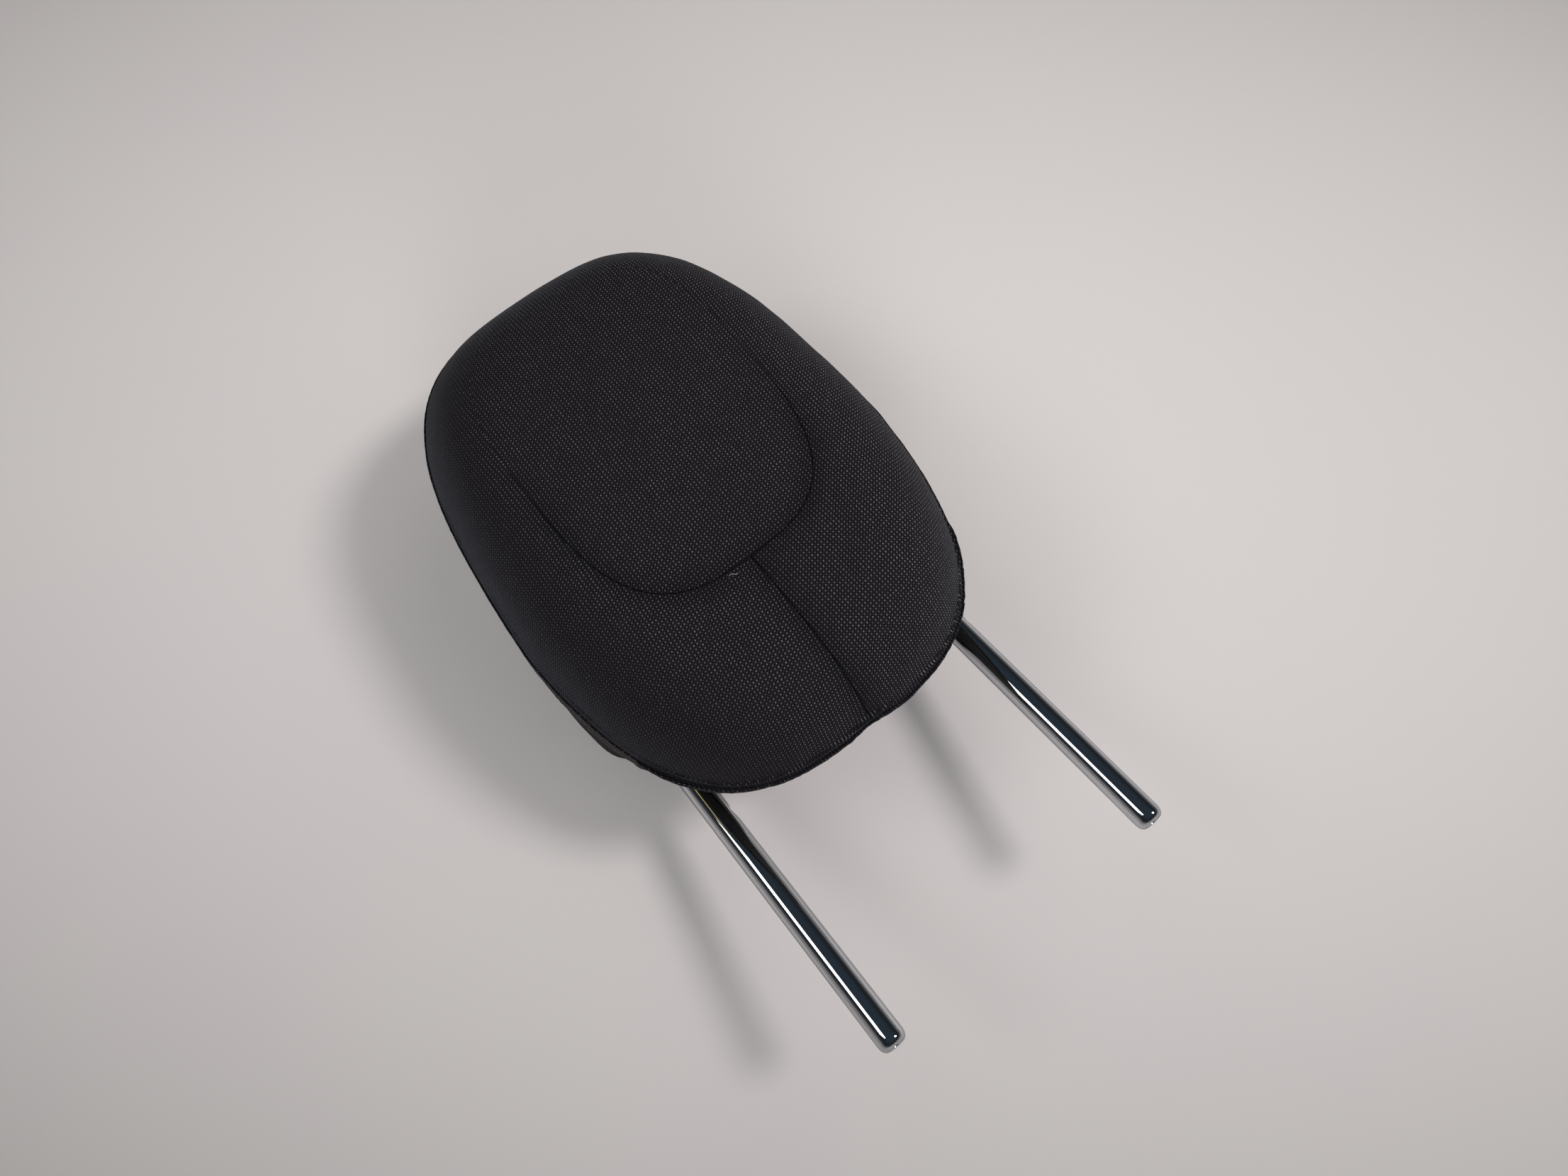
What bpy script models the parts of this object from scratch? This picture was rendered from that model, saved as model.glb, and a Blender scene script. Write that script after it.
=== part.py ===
"""Car headrest lying on its back: chromed post frame, armature tray, foam, fabric cover and back shell.

Every piece is modelled in one frame: X runs across, Y from the post tips to the headrest's top, and Z is
the height above the surface that the shell lies on. The posts rise from the shell towards their tips.
"""

import math

import bmesh
import bpy
from mathutils import Matrix, Vector

# Post frame
POST_DIAMETER = 0.0127
POST_WALL = 0.0016
POST_FROM_SIDE = 0.02795
POST_LEAN = math.radians(14.7)
TIP_HEIGHT = 0.072
FRAME_HEIGHT = 0.0228
BAR_Y = 0.300
KNEE_RADIUS = 0.040
BAR_BEND_RADIUS = 0.030
TIP_HOLE_RADIUS = 0.0017
TIP_PROFILE = ((0.0, 0.0039), (0.0004, 0.0052), (0.0013, 0.0060), (0.0028, POST_DIAMETER / 2))
NOTCH_START = 0.116
NOTCH_END = 0.124
NOTCH_DEPTH = 0.0013
KEEPER_NOTCH_AT = 0.024
KEEPER_NOTCH_WIDTH = 0.004
POST_SIDES_RESOLUTION = 6

# Pad outline, where the cover ends, and the crown of its front
RIM_HEIGHT = 0.084
RIM_HALF_WIDTH = 0.0988
RIM_ABOVE = 0.1315
RIM_BELOW = 0.1318
RIM_CENTRE_Y = 0.2352
RIM_POWER = 3.2
TAPER_START_Y = 0.215
TAPER_LENGTH = 0.150
TAPER_SHARE = 0.125
TAPER_POWER = 1.3
NECK_SHARE = 0.0965
NECK_POWER = 1.4
CROWN_TOP = 0.1215
CROWN_POWER = 8.4
LIP_START_Y = 0.150
LIP_RISE = 0.0085

# Cover, foam and the seams between the panels
COVER_THICKNESS = 0.0022
HEM_DEPTH = 0.003
SEAM_GAP = 0.0004
PANEL_HALF_WIDTH = 0.057
PANEL_HALF_HEIGHT = 0.079
PANEL_CENTRE_Y = 0.264
PANEL_POWER = 3.0

# Armature tray, clamps and screws
TRAY_THICKNESS = 0.003
LEG_CLAMP_Y = 0.225
BAR_CLAMP_X = 0.035
CLAMP_LENGTH = 0.033
CLAMP_WIDTH = 0.014
CLAMP_DEPTH = 0.0095
SCREW_OFFSET = 0.0115
SCREW_RADIUS = 0.0019
SCREW_LENGTH = 0.022
SCREW_HEAD_RADIUS = 0.0034
SCREW_HEAD_HEIGHT = 0.0024
SCREW_RECESS_RADIUS = 0.0012
SCREW_RECESS_DEPTH = 0.0012
TOWER_WEB = 0.003
TOWER_POCKET_HALF = 0.006
TOWER_POCKET_MARGIN = 0.004

# Back shell and post sleeves
SHELL_WALL = 0.0026
SHELL_INSET = 0.0015
SHELL_END_Y = 0.1618
SHELL_END_POWER = 8.0
SHELL_SHOULDER_HEIGHT = 0.064
SHELL_BACK_RADIUS = 0.028
SHELL_DRAFT = 0.0004
SLEEVE_WALL = 0.0022
SLEEVE_INSIDE = 0.011
FLANGE_WIDTH = 0.0046
FLANGE_THICKNESS = 0.003

# Spring clips on the shell's tongues
CLIP_YS = (0.200, 0.300)
TONGUE_FROM_WALL = 0.0075
TONGUE_THICKNESS = 0.002
TONGUE_WIDTH = 0.012
TONGUE_FOOT_HEIGHT = 0.004
TONGUE_BELOW_TRAY = 0.015
TONGUE_ABOVE_TRAY = 0.007
CLIP_THICKNESS = 0.0007
CLIP_WIDTH = 0.010
CLIP_BARB = 0.00125
CLIP_SKIRT = 0.006
POCKET_MARGIN = 0.002

# Clearances and mesh fineness
CLEARANCE = 0.0003
SEGMENTS = 40
SCREW_STEPS = 12
SLEEVE_STEPS = 20
ARC_STEPS = 5

POST_RADIUS = POST_DIAMETER / 2
POST_SPACING = 2 * (RIM_HALF_WIDTH - POST_FROM_SIDE)
TRAY_UNDERSIDE = RIM_HEIGHT - TRAY_THICKNESS
SEAT_RADIUS = POST_RADIUS + CLEARANCE
KNEE_DISTANCE = (TIP_HEIGHT - FRAME_HEIGHT) / math.sin(POST_LEAN)
TRAY_INSET = COVER_THICKNESS + CLEARANCE
SHELL_TOP = TRAY_UNDERSIDE - CLEARANCE


def clear_scene():
    for obj in list(bpy.data.objects):
        bpy.data.objects.remove(obj, do_unlink=True)


def new_collection(name):
    collection = bpy.data.collections.new(name)
    bpy.context.scene.collection.children.link(collection)
    return collection


def make_material(name, colour, roughness, metallic=0.0):
    material = bpy.data.materials.new(name)
    material.use_nodes = True
    shader = material.node_tree.nodes["Principled BSDF"]
    shader.inputs["Base Color"].default_value = (*colour, 1.0)
    shader.inputs["Roughness"].default_value = roughness
    shader.inputs["Metallic"].default_value = metallic
    material.diffuse_color = (*colour, 1.0)
    return material


def finish_mesh(mesh, smooth_angle=math.radians(40)):
    mesh.shade_smooth()
    mesh.set_sharp_from_angle(angle=smooth_angle)


def add_part(name, mesh, material, parent=None):
    obj = bpy.data.objects.new(name, mesh)
    PARTS.objects.link(obj)
    obj.parent = parent or ROOT
    mesh.materials.append(material)
    finish_mesh(mesh)
    return obj


def add_cutter(name, mesh, parent=None):
    obj = bpy.data.objects.new(name, mesh)
    GUIDES.objects.link(obj)
    obj.parent = parent or ROOT
    obj.hide_render = True
    obj.display_type = "WIRE"
    return obj


def add_place(name, location, rotation=(0.0, 0.0, 0.0)):
    """Axes that the pieces and cutters of one place share."""
    place = bpy.data.objects.new(name, None)
    GUIDES.objects.link(place)
    place.parent = ROOT
    place.location = location
    place.rotation_euler = rotation
    return place


def boolean(obj, cutter, operation="DIFFERENCE"):
    modifier = obj.modifiers.new(cutter.name, "BOOLEAN")
    modifier.operation = operation
    modifier.solver = "EXACT"
    modifier.object = cutter


def thicken(obj, thickness):
    modifier = obj.modifiers.new("thickness", "SOLIDIFY")
    modifier.thickness = thickness
    modifier.offset = -1.0
    modifier.use_even_offset = True


def mesh_from(build, name):
    """Make a mesh from a function that fills a bmesh."""
    bm = bmesh.new()
    build(bm)
    bmesh.ops.recalc_face_normals(bm, faces=bm.faces)
    mesh = bpy.data.meshes.new(name)
    bm.to_mesh(mesh)
    bm.free()
    return mesh


def box_mesh(name, size):
    def build(bm):
        bmesh.ops.create_cube(bm, size=1.0)
        bmesh.ops.scale(bm, vec=size, verts=bm.verts)
    return mesh_from(build, name)


def box_cutter(name, low, high, parent=None):
    """A box between two corners in its parent's axes."""
    low, high = Vector(low), Vector(high)
    cutter = add_cutter(name, box_mesh(name, high - low), parent)
    cutter.location = (low + high) / 2
    return cutter


def rod_cutter(name, radius, length, steps, parent):
    """A capped cylinder that stands on its own origin."""
    def build(bm):
        bmesh.ops.create_cone(bm, cap_ends=True, segments=steps, radius1=radius, radius2=radius,
                              depth=length, matrix=Matrix.Translation((0.0, 0.0, length / 2)))
    return add_cutter(name, mesh_from(build, name), parent)


def profile_mesh(name, profile):
    """A (radius, height) profile at +X, from its top down its outer side."""
    edges = [(i, i + 1) for i in range(len(profile) - 1)]
    if profile[0][0] > 0.0:
        edges.append((len(profile) - 1, 0))
    mesh = bpy.data.meshes.new(name)
    mesh.from_pydata([(radius, 0.0, height) for radius, height in profile], edges, [])
    return mesh


def turn(obj, steps):
    """Turn a profile once round the object's own Z axis."""
    modifier = obj.modifiers.new("turned", "SCREW")
    modifier.axis = "Z"
    modifier.angle = 2 * math.pi
    modifier.steps = modifier.render_steps = steps
    modifier.use_merge_vertices = True
    modifier.merge_threshold = 1e-6
    return obj


def loft(bm, rings, wrap=True):
    """Bridge rings of points with triangles, alike on both halves. A ring of one point is a pole."""
    rows = [[bm.verts.new(point) for point in ring] for ring in rings]
    for low, high in zip(rows, rows[1:]):
        count = max(len(low), len(high))
        for i in range(count if wrap else count - 1):
            j = (i + 1) % count
            a, b = low[i % len(low)], low[j % len(low)]
            c, d = high[j % len(high)], high[i % len(high)]
            halves = ((a, b, c), (a, c, d)) if i < count // 2 else ((a, b, d), (b, c, d))
            for half in halves:
                if len(set(half)) == 3:
                    bm.faces.new(half)


def ring_angles():
    """Angles round the pad, from the bottom centre."""
    return [-math.pi / 2 + 2 * math.pi * i / SEGMENTS for i in range(SEGMENTS)]


def superellipse(angle, half_width, half_height, power):
    across = abs(math.cos(angle) / half_width) ** power
    along = abs(math.sin(angle) / half_height) ** power
    radius = (across + along) ** (-1.0 / power)
    return radius * math.cos(angle), radius * math.sin(angle)


def taper(y):
    """How far the pad narrows towards its top."""
    beyond = max(0.0, (y - TAPER_START_Y) / TAPER_LENGTH)
    return 1.0 - TAPER_SHARE * beyond ** TAPER_POWER


def neck(y):
    """How far the cover narrows towards its lower lip."""
    below = max(0.0, (RIM_CENTRE_Y - y) / RIM_BELOW)
    return 1.0 - NECK_SHARE * below ** NECK_POWER


def rim_half_height(upper):
    return RIM_ABOVE if upper else RIM_BELOW


def rim_outline(angle):
    x, y = superellipse(angle, RIM_HALF_WIDTH, rim_half_height(math.sin(angle) > 0.0), RIM_POWER)
    y += RIM_CENTRE_Y
    return Vector((x * taper(y) * neck(y), y))


def rim_point(angle, inset=0.0):
    """A point on the pad's outline, moved inwards at right angles to it."""
    along = (rim_outline(angle + 0.001) - rim_outline(angle - 0.001)).normalized()
    return tuple(rim_outline(angle) + inset * Vector((-along.y, along.x)))


def seam_point(angle, offset):
    x, y = superellipse(angle, PANEL_HALF_WIDTH + offset, PANEL_HALF_HEIGHT + offset, PANEL_POWER)
    return x, y + PANEL_CENTRE_Y


def shell_point(angle, inset):
    """The shell follows the rim, but its lower end is cut square with round corners."""
    inset += SHELL_INSET
    half_height, power = RIM_ABOVE - inset, RIM_POWER
    if math.sin(angle) < 0.0:
        half_height = RIM_CENTRE_Y - SHELL_END_Y - inset + SHELL_INSET
        power = SHELL_END_POWER
    x, y = superellipse(angle, RIM_HALF_WIDTH - inset, half_height, power)
    y += RIM_CENTRE_Y
    return x * taper(y), y


def rim_height(y):
    """The rim is level, and rises towards the middle of the lower lip."""
    lip = max(0.0, (LIP_START_Y - y) / (LIP_START_Y - RIM_CENTRE_Y + RIM_BELOW))
    return RIM_HEIGHT + LIP_RISE * lip ** 3


def mix(a, b, share):
    return a[0] + (b[0] - a[0]) * share, a[1] + (b[1] - a[1]) * share


def crown_lift(x, y):
    """How far the front has risen above the rim: 0 at the rim, 1 over the middle."""
    across = abs(x) / (RIM_HALF_WIDTH * taper(y) * neck(y))
    along = abs(y - RIM_CENTRE_Y) / rim_half_height(y > RIM_CENTRE_Y)
    share = (across ** RIM_POWER + along ** RIM_POWER) ** (1.0 / RIM_POWER)
    return max(0.0, 1.0 - share ** CROWN_POWER)


def crown_point(outer, inner, inset):
    """Height of the front at a point, or of the surface that lies an inset under it."""
    low = rim_height(inner[1])
    return (*inner, low + (CROWN_TOP - inset - low) * crown_lift(*outer))


def crown_ring(share, offset=0.0, inset=0.0):
    """A ring on the front surface, from the oval seam (0) to the rim (1)."""
    ring = []
    for angle in ring_angles():
        seam = seam_point(angle, offset)
        outer = mix(seam, rim_point(angle), share)
        ring.append(crown_point(outer, mix(seam, rim_point(angle, inset), share), inset))
    return ring


def panel_rings(offset=0.0, inset=0.0):
    """Rings inside the oval seam, from a pole at its centre."""
    centre = (0.0, PANEL_CENTRE_Y)
    rings = [[crown_point(centre, centre, inset)]]
    for share in (0.4, 0.75, 1.0):
        points = [mix(centre, seam_point(angle, offset), share) for angle in ring_angles()]
        rings.append([crown_point(point, point, inset) for point in points])
    return rings


CROWN_SHARES = (0.3, 0.52, 0.7, 0.83, 0.92, 0.97, 1.0)


def plate_rings(inset, lift):
    """Rings that follow the rim's height, from a pole to the rim."""
    rings = [[(0.0, RIM_CENTRE_Y, RIM_HEIGHT + lift)]]
    for share in (0.35, 0.66, 0.78, 0.9, 1.0):
        ring = []
        for angle in ring_angles():
            x, y = mix((0.0, RIM_CENTRE_Y), rim_point(angle, inset), share)
            ring.append((x, y, rim_height(y) + lift))
        rings.append(ring)
    return rings


def build_cover_centre():
    outer = panel_rings(-SEAM_GAP / 2)
    inner = panel_rings(-SEAM_GAP / 2, COVER_THICKNESS)
    mesh = mesh_from(lambda bm: loft(bm, outer + inner[::-1]), "cover_centre_panel")
    add_part("cover_centre_panel", mesh, FABRIC_CENTRE)


def skirt_rings(inset):
    """Rings of the surround panel, from the oval seam over the rim to the hem."""
    rings = [crown_ring(share, SEAM_GAP / 2, inset) for share in (0.0, *CROWN_SHARES)]
    rings.append([(x, y, z - HEM_DEPTH) for x, y, z in rings[-1]])
    return rings


def build_cover_surround():
    """One strip round the oval, whose ends meet at the lower centre seam."""
    inner = skirt_rings(COVER_THICKNESS)
    strips = []
    for first, *rest in inner[::-1] + skirt_rings(0.0) + inner[-1:]:
        start = (SEAM_GAP / 2, first[1], first[2])
        end = (-SEAM_GAP / 2, first[1], first[2])
        strips.append([start, *rest, end])

    def build(bm):
        loft(bm, strips, wrap=False)
        bmesh.ops.remove_doubles(bm, verts=bm.verts, dist=1e-6)
        bmesh.ops.holes_fill(bm, edges=[edge for edge in bm.edges if edge.is_boundary])
    add_part("cover_surround_panel", mesh_from(build, "cover_surround_panel"), FABRIC_SURROUND)


def point_faces(obj, up):
    """Turn an open surface so that its faces point up or down."""
    mesh = obj.data
    total = sum(face.normal.z * face.area for face in mesh.polygons)
    if (total > 0.0) != up:
        mesh.flip_normals()


def build_foam():
    crown = panel_rings(inset=TRAY_INSET) + [crown_ring(share, inset=TRAY_INSET) for share in CROWN_SHARES]
    rings = plate_rings(TRAY_INSET, CLEARANCE) + crown[-2::-1]
    obj = add_part("foam_pad", mesh_from(lambda bm: loft(bm, rings), "foam_pad"), FOAM)
    half_width = TONGUE_THICKNESS / 2 + CLEARANCE + CLIP_THICKNESS + CLIP_BARB + POCKET_MARGIN
    half_length = TONGUE_WIDTH / 2 + POCKET_MARGIN
    top = RIM_HEIGHT + TONGUE_ABOVE_TRAY + CLEARANCE + CLIP_THICKNESS + POCKET_MARGIN
    for number, (x, y) in enumerate(clip_places(), 1):
        low = (x - half_width, y - half_length, RIM_HEIGHT - TRAY_THICKNESS)
        high = (x + half_width, y + half_length, top)
        boolean(obj, box_cutter(f"foam_pocket_{number}", low, high))


def clip_places():
    """Centre of each tongue, just inside the shell's side walls."""
    places = []
    for y in CLIP_YS:
        along = abs(y - RIM_CENTRE_Y) / RIM_ABOVE
        half = RIM_HALF_WIDTH * (1.0 - along ** RIM_POWER) ** (1.0 / RIM_POWER) * taper(y)
        x = half - SHELL_INSET - SHELL_WALL - TONGUE_FROM_WALL
        places += [(-x, y), (x, y)]
    return places


def clamp_places():
    """Each clamp's centre on the frame, and its turn: the tube runs along the clamp's own Y."""
    half = POST_SPACING / 2
    return {
        "leg_clamp_left": (-half, LEG_CLAMP_Y, 0.0),
        "leg_clamp_right": (half, LEG_CLAMP_Y, 0.0),
        "bar_clamp_left": (-BAR_CLAMP_X, BAR_Y, math.pi / 2),
        "bar_clamp_right": (BAR_CLAMP_X, BAR_Y, math.pi / 2),
    }


def tube_seat(name, place):
    """The round seat that clears the tube."""
    seat = rod_cutter(name, SEAT_RADIUS, 2 * CLAMP_WIDTH, 16, place)
    seat.location.y = -CLAMP_WIDTH
    seat.rotation_euler.x = -math.pi / 2
    return seat


def screw_hole(name, place, x, low, high):
    hole = rod_cutter(name, SCREW_RADIUS + CLEARANCE, high - low, SCREW_STEPS, place)
    hole.location = (x, 0.0, low)
    return hole


def build_tray():
    top, underside = plate_rings(TRAY_INSET, 0.0), plate_rings(TRAY_INSET, -TRAY_THICKNESS)
    mesh = mesh_from(lambda bm: loft(bm, top + underside[::-1]), "armature_tray")
    tray = add_part("armature_tray", mesh, TRAY_PLASTIC)
    screw_number = 1
    for name, (x, y, angle) in clamp_places().items():
        place = add_place(f"{name}_place", (x, y, FRAME_HEIGHT), (0.0, 0.0, angle))
        add_tower(tray, name, place)
        build_clamp(name, place, screw_number)
        screw_number += 2
    half_width = TONGUE_THICKNESS / 2 + CLIP_THICKNESS + 2 * CLEARANCE
    half_length = TONGUE_WIDTH / 2 + 2 * CLEARANCE
    for number, (x, y) in enumerate(clip_places(), 1):
        low = (x - half_width, y - half_length, RIM_HEIGHT - 2 * TRAY_THICKNESS)
        high = (x + half_width, y + half_length, RIM_HEIGHT + TRAY_THICKNESS)
        boolean(tray, box_cutter(f"clip_slot_{number}", low, high))


def add_tower(tray, name, place):
    """A tower under the tray: two screw columns, a web between them and a seat for the tube."""
    half_long, half_wide = CLAMP_LENGTH / 2, CLAMP_WIDTH / 2
    top = RIM_HEIGHT - TRAY_THICKNESS / 2 - FRAME_HEIGHT
    low, high = (-half_long, -half_wide, CLEARANCE / 2), (half_long, half_wide, top)
    boolean(tray, box_cutter(f"{name}_tower", low, high, place), "UNION")
    pocket_low = SEAT_RADIUS + TOWER_POCKET_MARGIN
    pocket_high = TRAY_UNDERSIDE - TOWER_POCKET_MARGIN - FRAME_HEIGHT
    for label, near, far in (("front", TOWER_WEB / 2, half_wide + CLEARANCE),
                             ("back", -half_wide - CLEARANCE, -TOWER_WEB / 2)):
        low = (-TOWER_POCKET_HALF, near, pocket_low)
        high = (TOWER_POCKET_HALF, far, pocket_high)
        boolean(tray, box_cutter(f"{name}_pocket_{label}", low, high, place))
    boolean(tray, tube_seat(f"{name}_seat", place))
    for number, x in enumerate((-SCREW_OFFSET, SCREW_OFFSET), 1):
        end = SCREW_LENGTH + CLEARANCE - CLAMP_DEPTH
        boolean(tray, screw_hole(f"{name}_hole_{number}", place, x, -CLAMP_DEPTH, end))


def screw_profile():
    """Half section of a pan-head screw, from its tip down to the recess in its head."""
    foot = -CLEARANCE - SCREW_HEAD_HEIGHT
    return [
        (0.0, SCREW_LENGTH),
        (SCREW_RADIUS, SCREW_LENGTH - SCREW_RADIUS),
        (SCREW_RADIUS, -CLEARANCE),
        (SCREW_HEAD_RADIUS, -CLEARANCE),
        (SCREW_HEAD_RADIUS, foot + SCREW_HEAD_HEIGHT / 2),
        (SCREW_HEAD_RADIUS * 0.75, foot),
        (SCREW_RECESS_RADIUS, foot),
        (SCREW_RECESS_RADIUS, foot + SCREW_RECESS_DEPTH),
        (0.0, foot + SCREW_RECESS_DEPTH),
    ]


def build_clamp(name, place, screw_number):
    """The cap under the tube and the two screws that hold it to its tower."""
    size = (CLAMP_LENGTH, CLAMP_WIDTH, CLAMP_DEPTH - CLEARANCE / 2)
    cap = add_part(name, box_mesh(name, size), CLAMP_PLASTIC, place)
    cap.location.z = -(CLAMP_DEPTH + CLEARANCE / 2) / 2
    boolean(cap, tube_seat(f"{name}_groove", place))
    for number, x in enumerate((-SCREW_OFFSET, SCREW_OFFSET)):
        through = screw_hole(f"{name}_through_{number + 1}", place, x, -2 * CLAMP_DEPTH, CLAMP_DEPTH)
        boolean(cap, through)
        label = f"clamp_screw_{screw_number + number}"
        screw = add_part(label, profile_mesh(label, screw_profile()), ZINC, place)
        screw.location = (x, 0.0, -CLAMP_DEPTH)
        turn(screw, SCREW_STEPS)


def post_point(side, distance):
    """A point on a post's axis, at a distance from its tip."""
    return Vector((side * POST_SPACING / 2, distance * math.cos(POST_LEAN),
                   TIP_HEIGHT - distance * math.sin(POST_LEAN)))


def rounded_corner(before, corner, after, radius, steps):
    """Points along the arc that rounds a corner."""
    back, ahead = (before - corner).normalized(), (after - corner).normalized()
    half = back.angle(ahead) / 2
    centre = corner + (back + ahead).normalized() * radius / math.sin(half)
    first = corner + back * radius / math.tan(half) - centre
    last = corner + ahead * radius / math.tan(half) - centre
    first, last = first.normalized(), last.normalized()
    return [centre + first.slerp(last, i / steps).normalized() * radius for i in range(steps + 1)]


def half_frame_path(side):
    """One leg of the tube, from the knee to the middle of the bar's bend."""
    knee = post_point(side, KNEE_DISTANCE)
    corner = Vector((knee.x, BAR_Y, FRAME_HEIGHT))
    tip = post_point(side, 0.0)
    path = rounded_corner(tip, knee, corner, KNEE_RADIUS, 3)
    path += rounded_corner(knee, corner, Vector((0.0, BAR_Y, FRAME_HEIGHT)), BAR_BEND_RADIUS, 7)
    return path


def tube_mesh(name, tip_profile, radius):
    """A mesh tube along the frame, whose ends follow (distance, radius) pairs."""
    left = [(post_point(-1, d), r) for d, r in tip_profile]
    right = [(post_point(1, d), r) for d, r in tip_profile]
    points = left + [(p, radius) for p in half_frame_path(-1)]
    points += [(p, radius) for p in reversed(half_frame_path(1))] + right[::-1]
    curve = bpy.data.curves.new(name, "CURVE")
    curve.dimensions = "3D"
    curve.bevel_depth = radius
    curve.bevel_resolution = POST_SIDES_RESOLUTION
    curve.use_fill_caps = True
    spline = curve.splines.new("POLY")
    spline.points.add(len(points) - 1)
    for target, (point, local_radius) in zip(spline.points, points):
        target.co = (*point, 1.0)
        target.radius = local_radius / radius
    guide = bpy.data.objects.new(name, curve)
    bpy.context.scene.collection.objects.link(guide)
    depsgraph = bpy.context.evaluated_depsgraph_get()
    mesh = bpy.data.meshes.new_from_object(guide.evaluated_get(depsgraph))
    bpy.data.objects.remove(guide, do_unlink=True)
    bm = bmesh.new()
    bm.from_mesh(mesh)
    bmesh.ops.remove_doubles(bm, verts=bm.verts, dist=1e-6)
    bmesh.ops.recalc_face_normals(bm, faces=bm.faces)
    bm.to_mesh(mesh)
    bm.free()
    mesh.name = name
    mesh.materials.clear()
    return mesh


def post_axes(side):
    """Rotation whose Z runs along a post towards its tip, and whose X runs across the headrest."""
    outward = (post_point(side, 0.0) - post_point(side, 1.0)).normalized()
    across = Vector((1.0, 0.0, 0.0))
    return Matrix((across, outward.cross(across), outward)).transposed().to_euler()


def notch_cutter(name, place, start, end, depth):
    """A wedge in a post's right side: a square shoulder at its inner end and a ramp to the tip's side."""
    outer, inner = POST_RADIUS + depth, POST_RADIUS - depth
    corners = ((POST_RADIUS, -start), (inner, -end), (outer, -end), (outer, -start))

    def build(bm):
        face = bm.faces.new([bm.verts.new((x, -POST_DIAMETER, z)) for x, z in corners])
        grown = bmesh.ops.extrude_face_region(bm, geom=[face])["geom"]
        far = [item for item in grown if isinstance(item, bmesh.types.BMVert)]
        bmesh.ops.translate(bm, vec=(0.0, 2 * POST_DIAMETER, 0.0), verts=far)
    return add_cutter(name, mesh_from(build, name), place)


def build_post_frame():
    frame = add_part("post_frame", tube_mesh("post_frame", TIP_PROFILE, POST_RADIUS), CHROME)
    bore_radius = POST_RADIUS - POST_WALL
    wall_start = TIP_PROFILE[-1][0] + POST_WALL
    bore_tip = ((-POST_WALL, TIP_HOLE_RADIUS), (POST_WALL, TIP_HOLE_RADIUS), (wall_start, bore_radius))
    boolean(frame, add_cutter("tube_bore", tube_mesh("tube_bore", bore_tip, bore_radius)))
    for label, side in (("left", -1), ("right", 1)):
        place = add_place(f"post_tip_{label}", post_point(side, 0.0), post_axes(side))
        boolean(frame, notch_cutter(f"notch_{label}", place, NOTCH_START, NOTCH_END, NOTCH_DEPTH))
    keeper_end = KEEPER_NOTCH_AT + KEEPER_NOTCH_WIDTH
    boolean(frame, notch_cutter("keeper_notch", place, KEEPER_NOTCH_AT, keeper_end, POST_WALL / 2))


def build_sleeves(exits):
    """A lined hole for each post: a straight bush and a flange cut to the wall's slope."""
    inner = SEAT_RADIUS
    outer = SEAT_RADIUS + SLEEVE_WALL
    rim = SEAT_RADIUS + FLANGE_WIDTH
    rise = rim * math.tan(POST_LEAN) + FLANGE_THICKNESS
    half = FLANGE_THICKNESS / 2
    flange_foot = -FLANGE_THICKNESS * 4
    flange_profile = [(rim - half, rise), (rim, rise - half), (rim, flange_foot), (inner, flange_foot),
                      (inner, rise)]
    bush_profile = [(outer, rise), (outer, -SLEEVE_INSIDE), (inner, -SLEEVE_INSIDE), (inner, rise)]
    for label, place in exits.items():
        name = f"post_sleeve_{label}"
        sleeve = add_part(name, profile_mesh(name, flange_profile), SLEEVE_PLASTIC, place)
        turn(sleeve, SLEEVE_STEPS)
        wall_side = box_cutter(f"{name}_wall_side", (-1.0, SHELL_END_Y - CLEARANCE, -1.0), (1.0, 1.0, 1.0))
        boolean(sleeve, wall_side)
        bush = add_cutter(f"{name}_bush", profile_mesh(f"{name}_bush", bush_profile), place)
        boolean(sleeve, turn(bush, SLEEVE_STEPS), "UNION")


def shell_rings():
    """Rings from the shell's open rim, down its side and round to the flat back."""
    levels = [(SHELL_SHOULDER_HEIGHT, 0.0), (SHELL_BACK_RADIUS, SHELL_DRAFT)]
    for step in range(1, ARC_STEPS + 1):
        angle = math.pi / 2 * step / ARC_STEPS
        inset = SHELL_DRAFT + SHELL_BACK_RADIUS * (1.0 - math.cos(angle))
        levels.append((SHELL_BACK_RADIUS * (1.0 - math.sin(angle)), inset))
    top = []
    for angle in ring_angles():
        x, y = shell_point(angle, 0.0)
        top.append((x * neck(y), y, SHELL_TOP))
    rings = [top]
    for height, inset in levels:
        rings.append([(*shell_point(angle, inset), height) for angle in ring_angles()])
    rings.append([(0.0, RIM_CENTRE_Y, 0.0)])
    return rings


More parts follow.
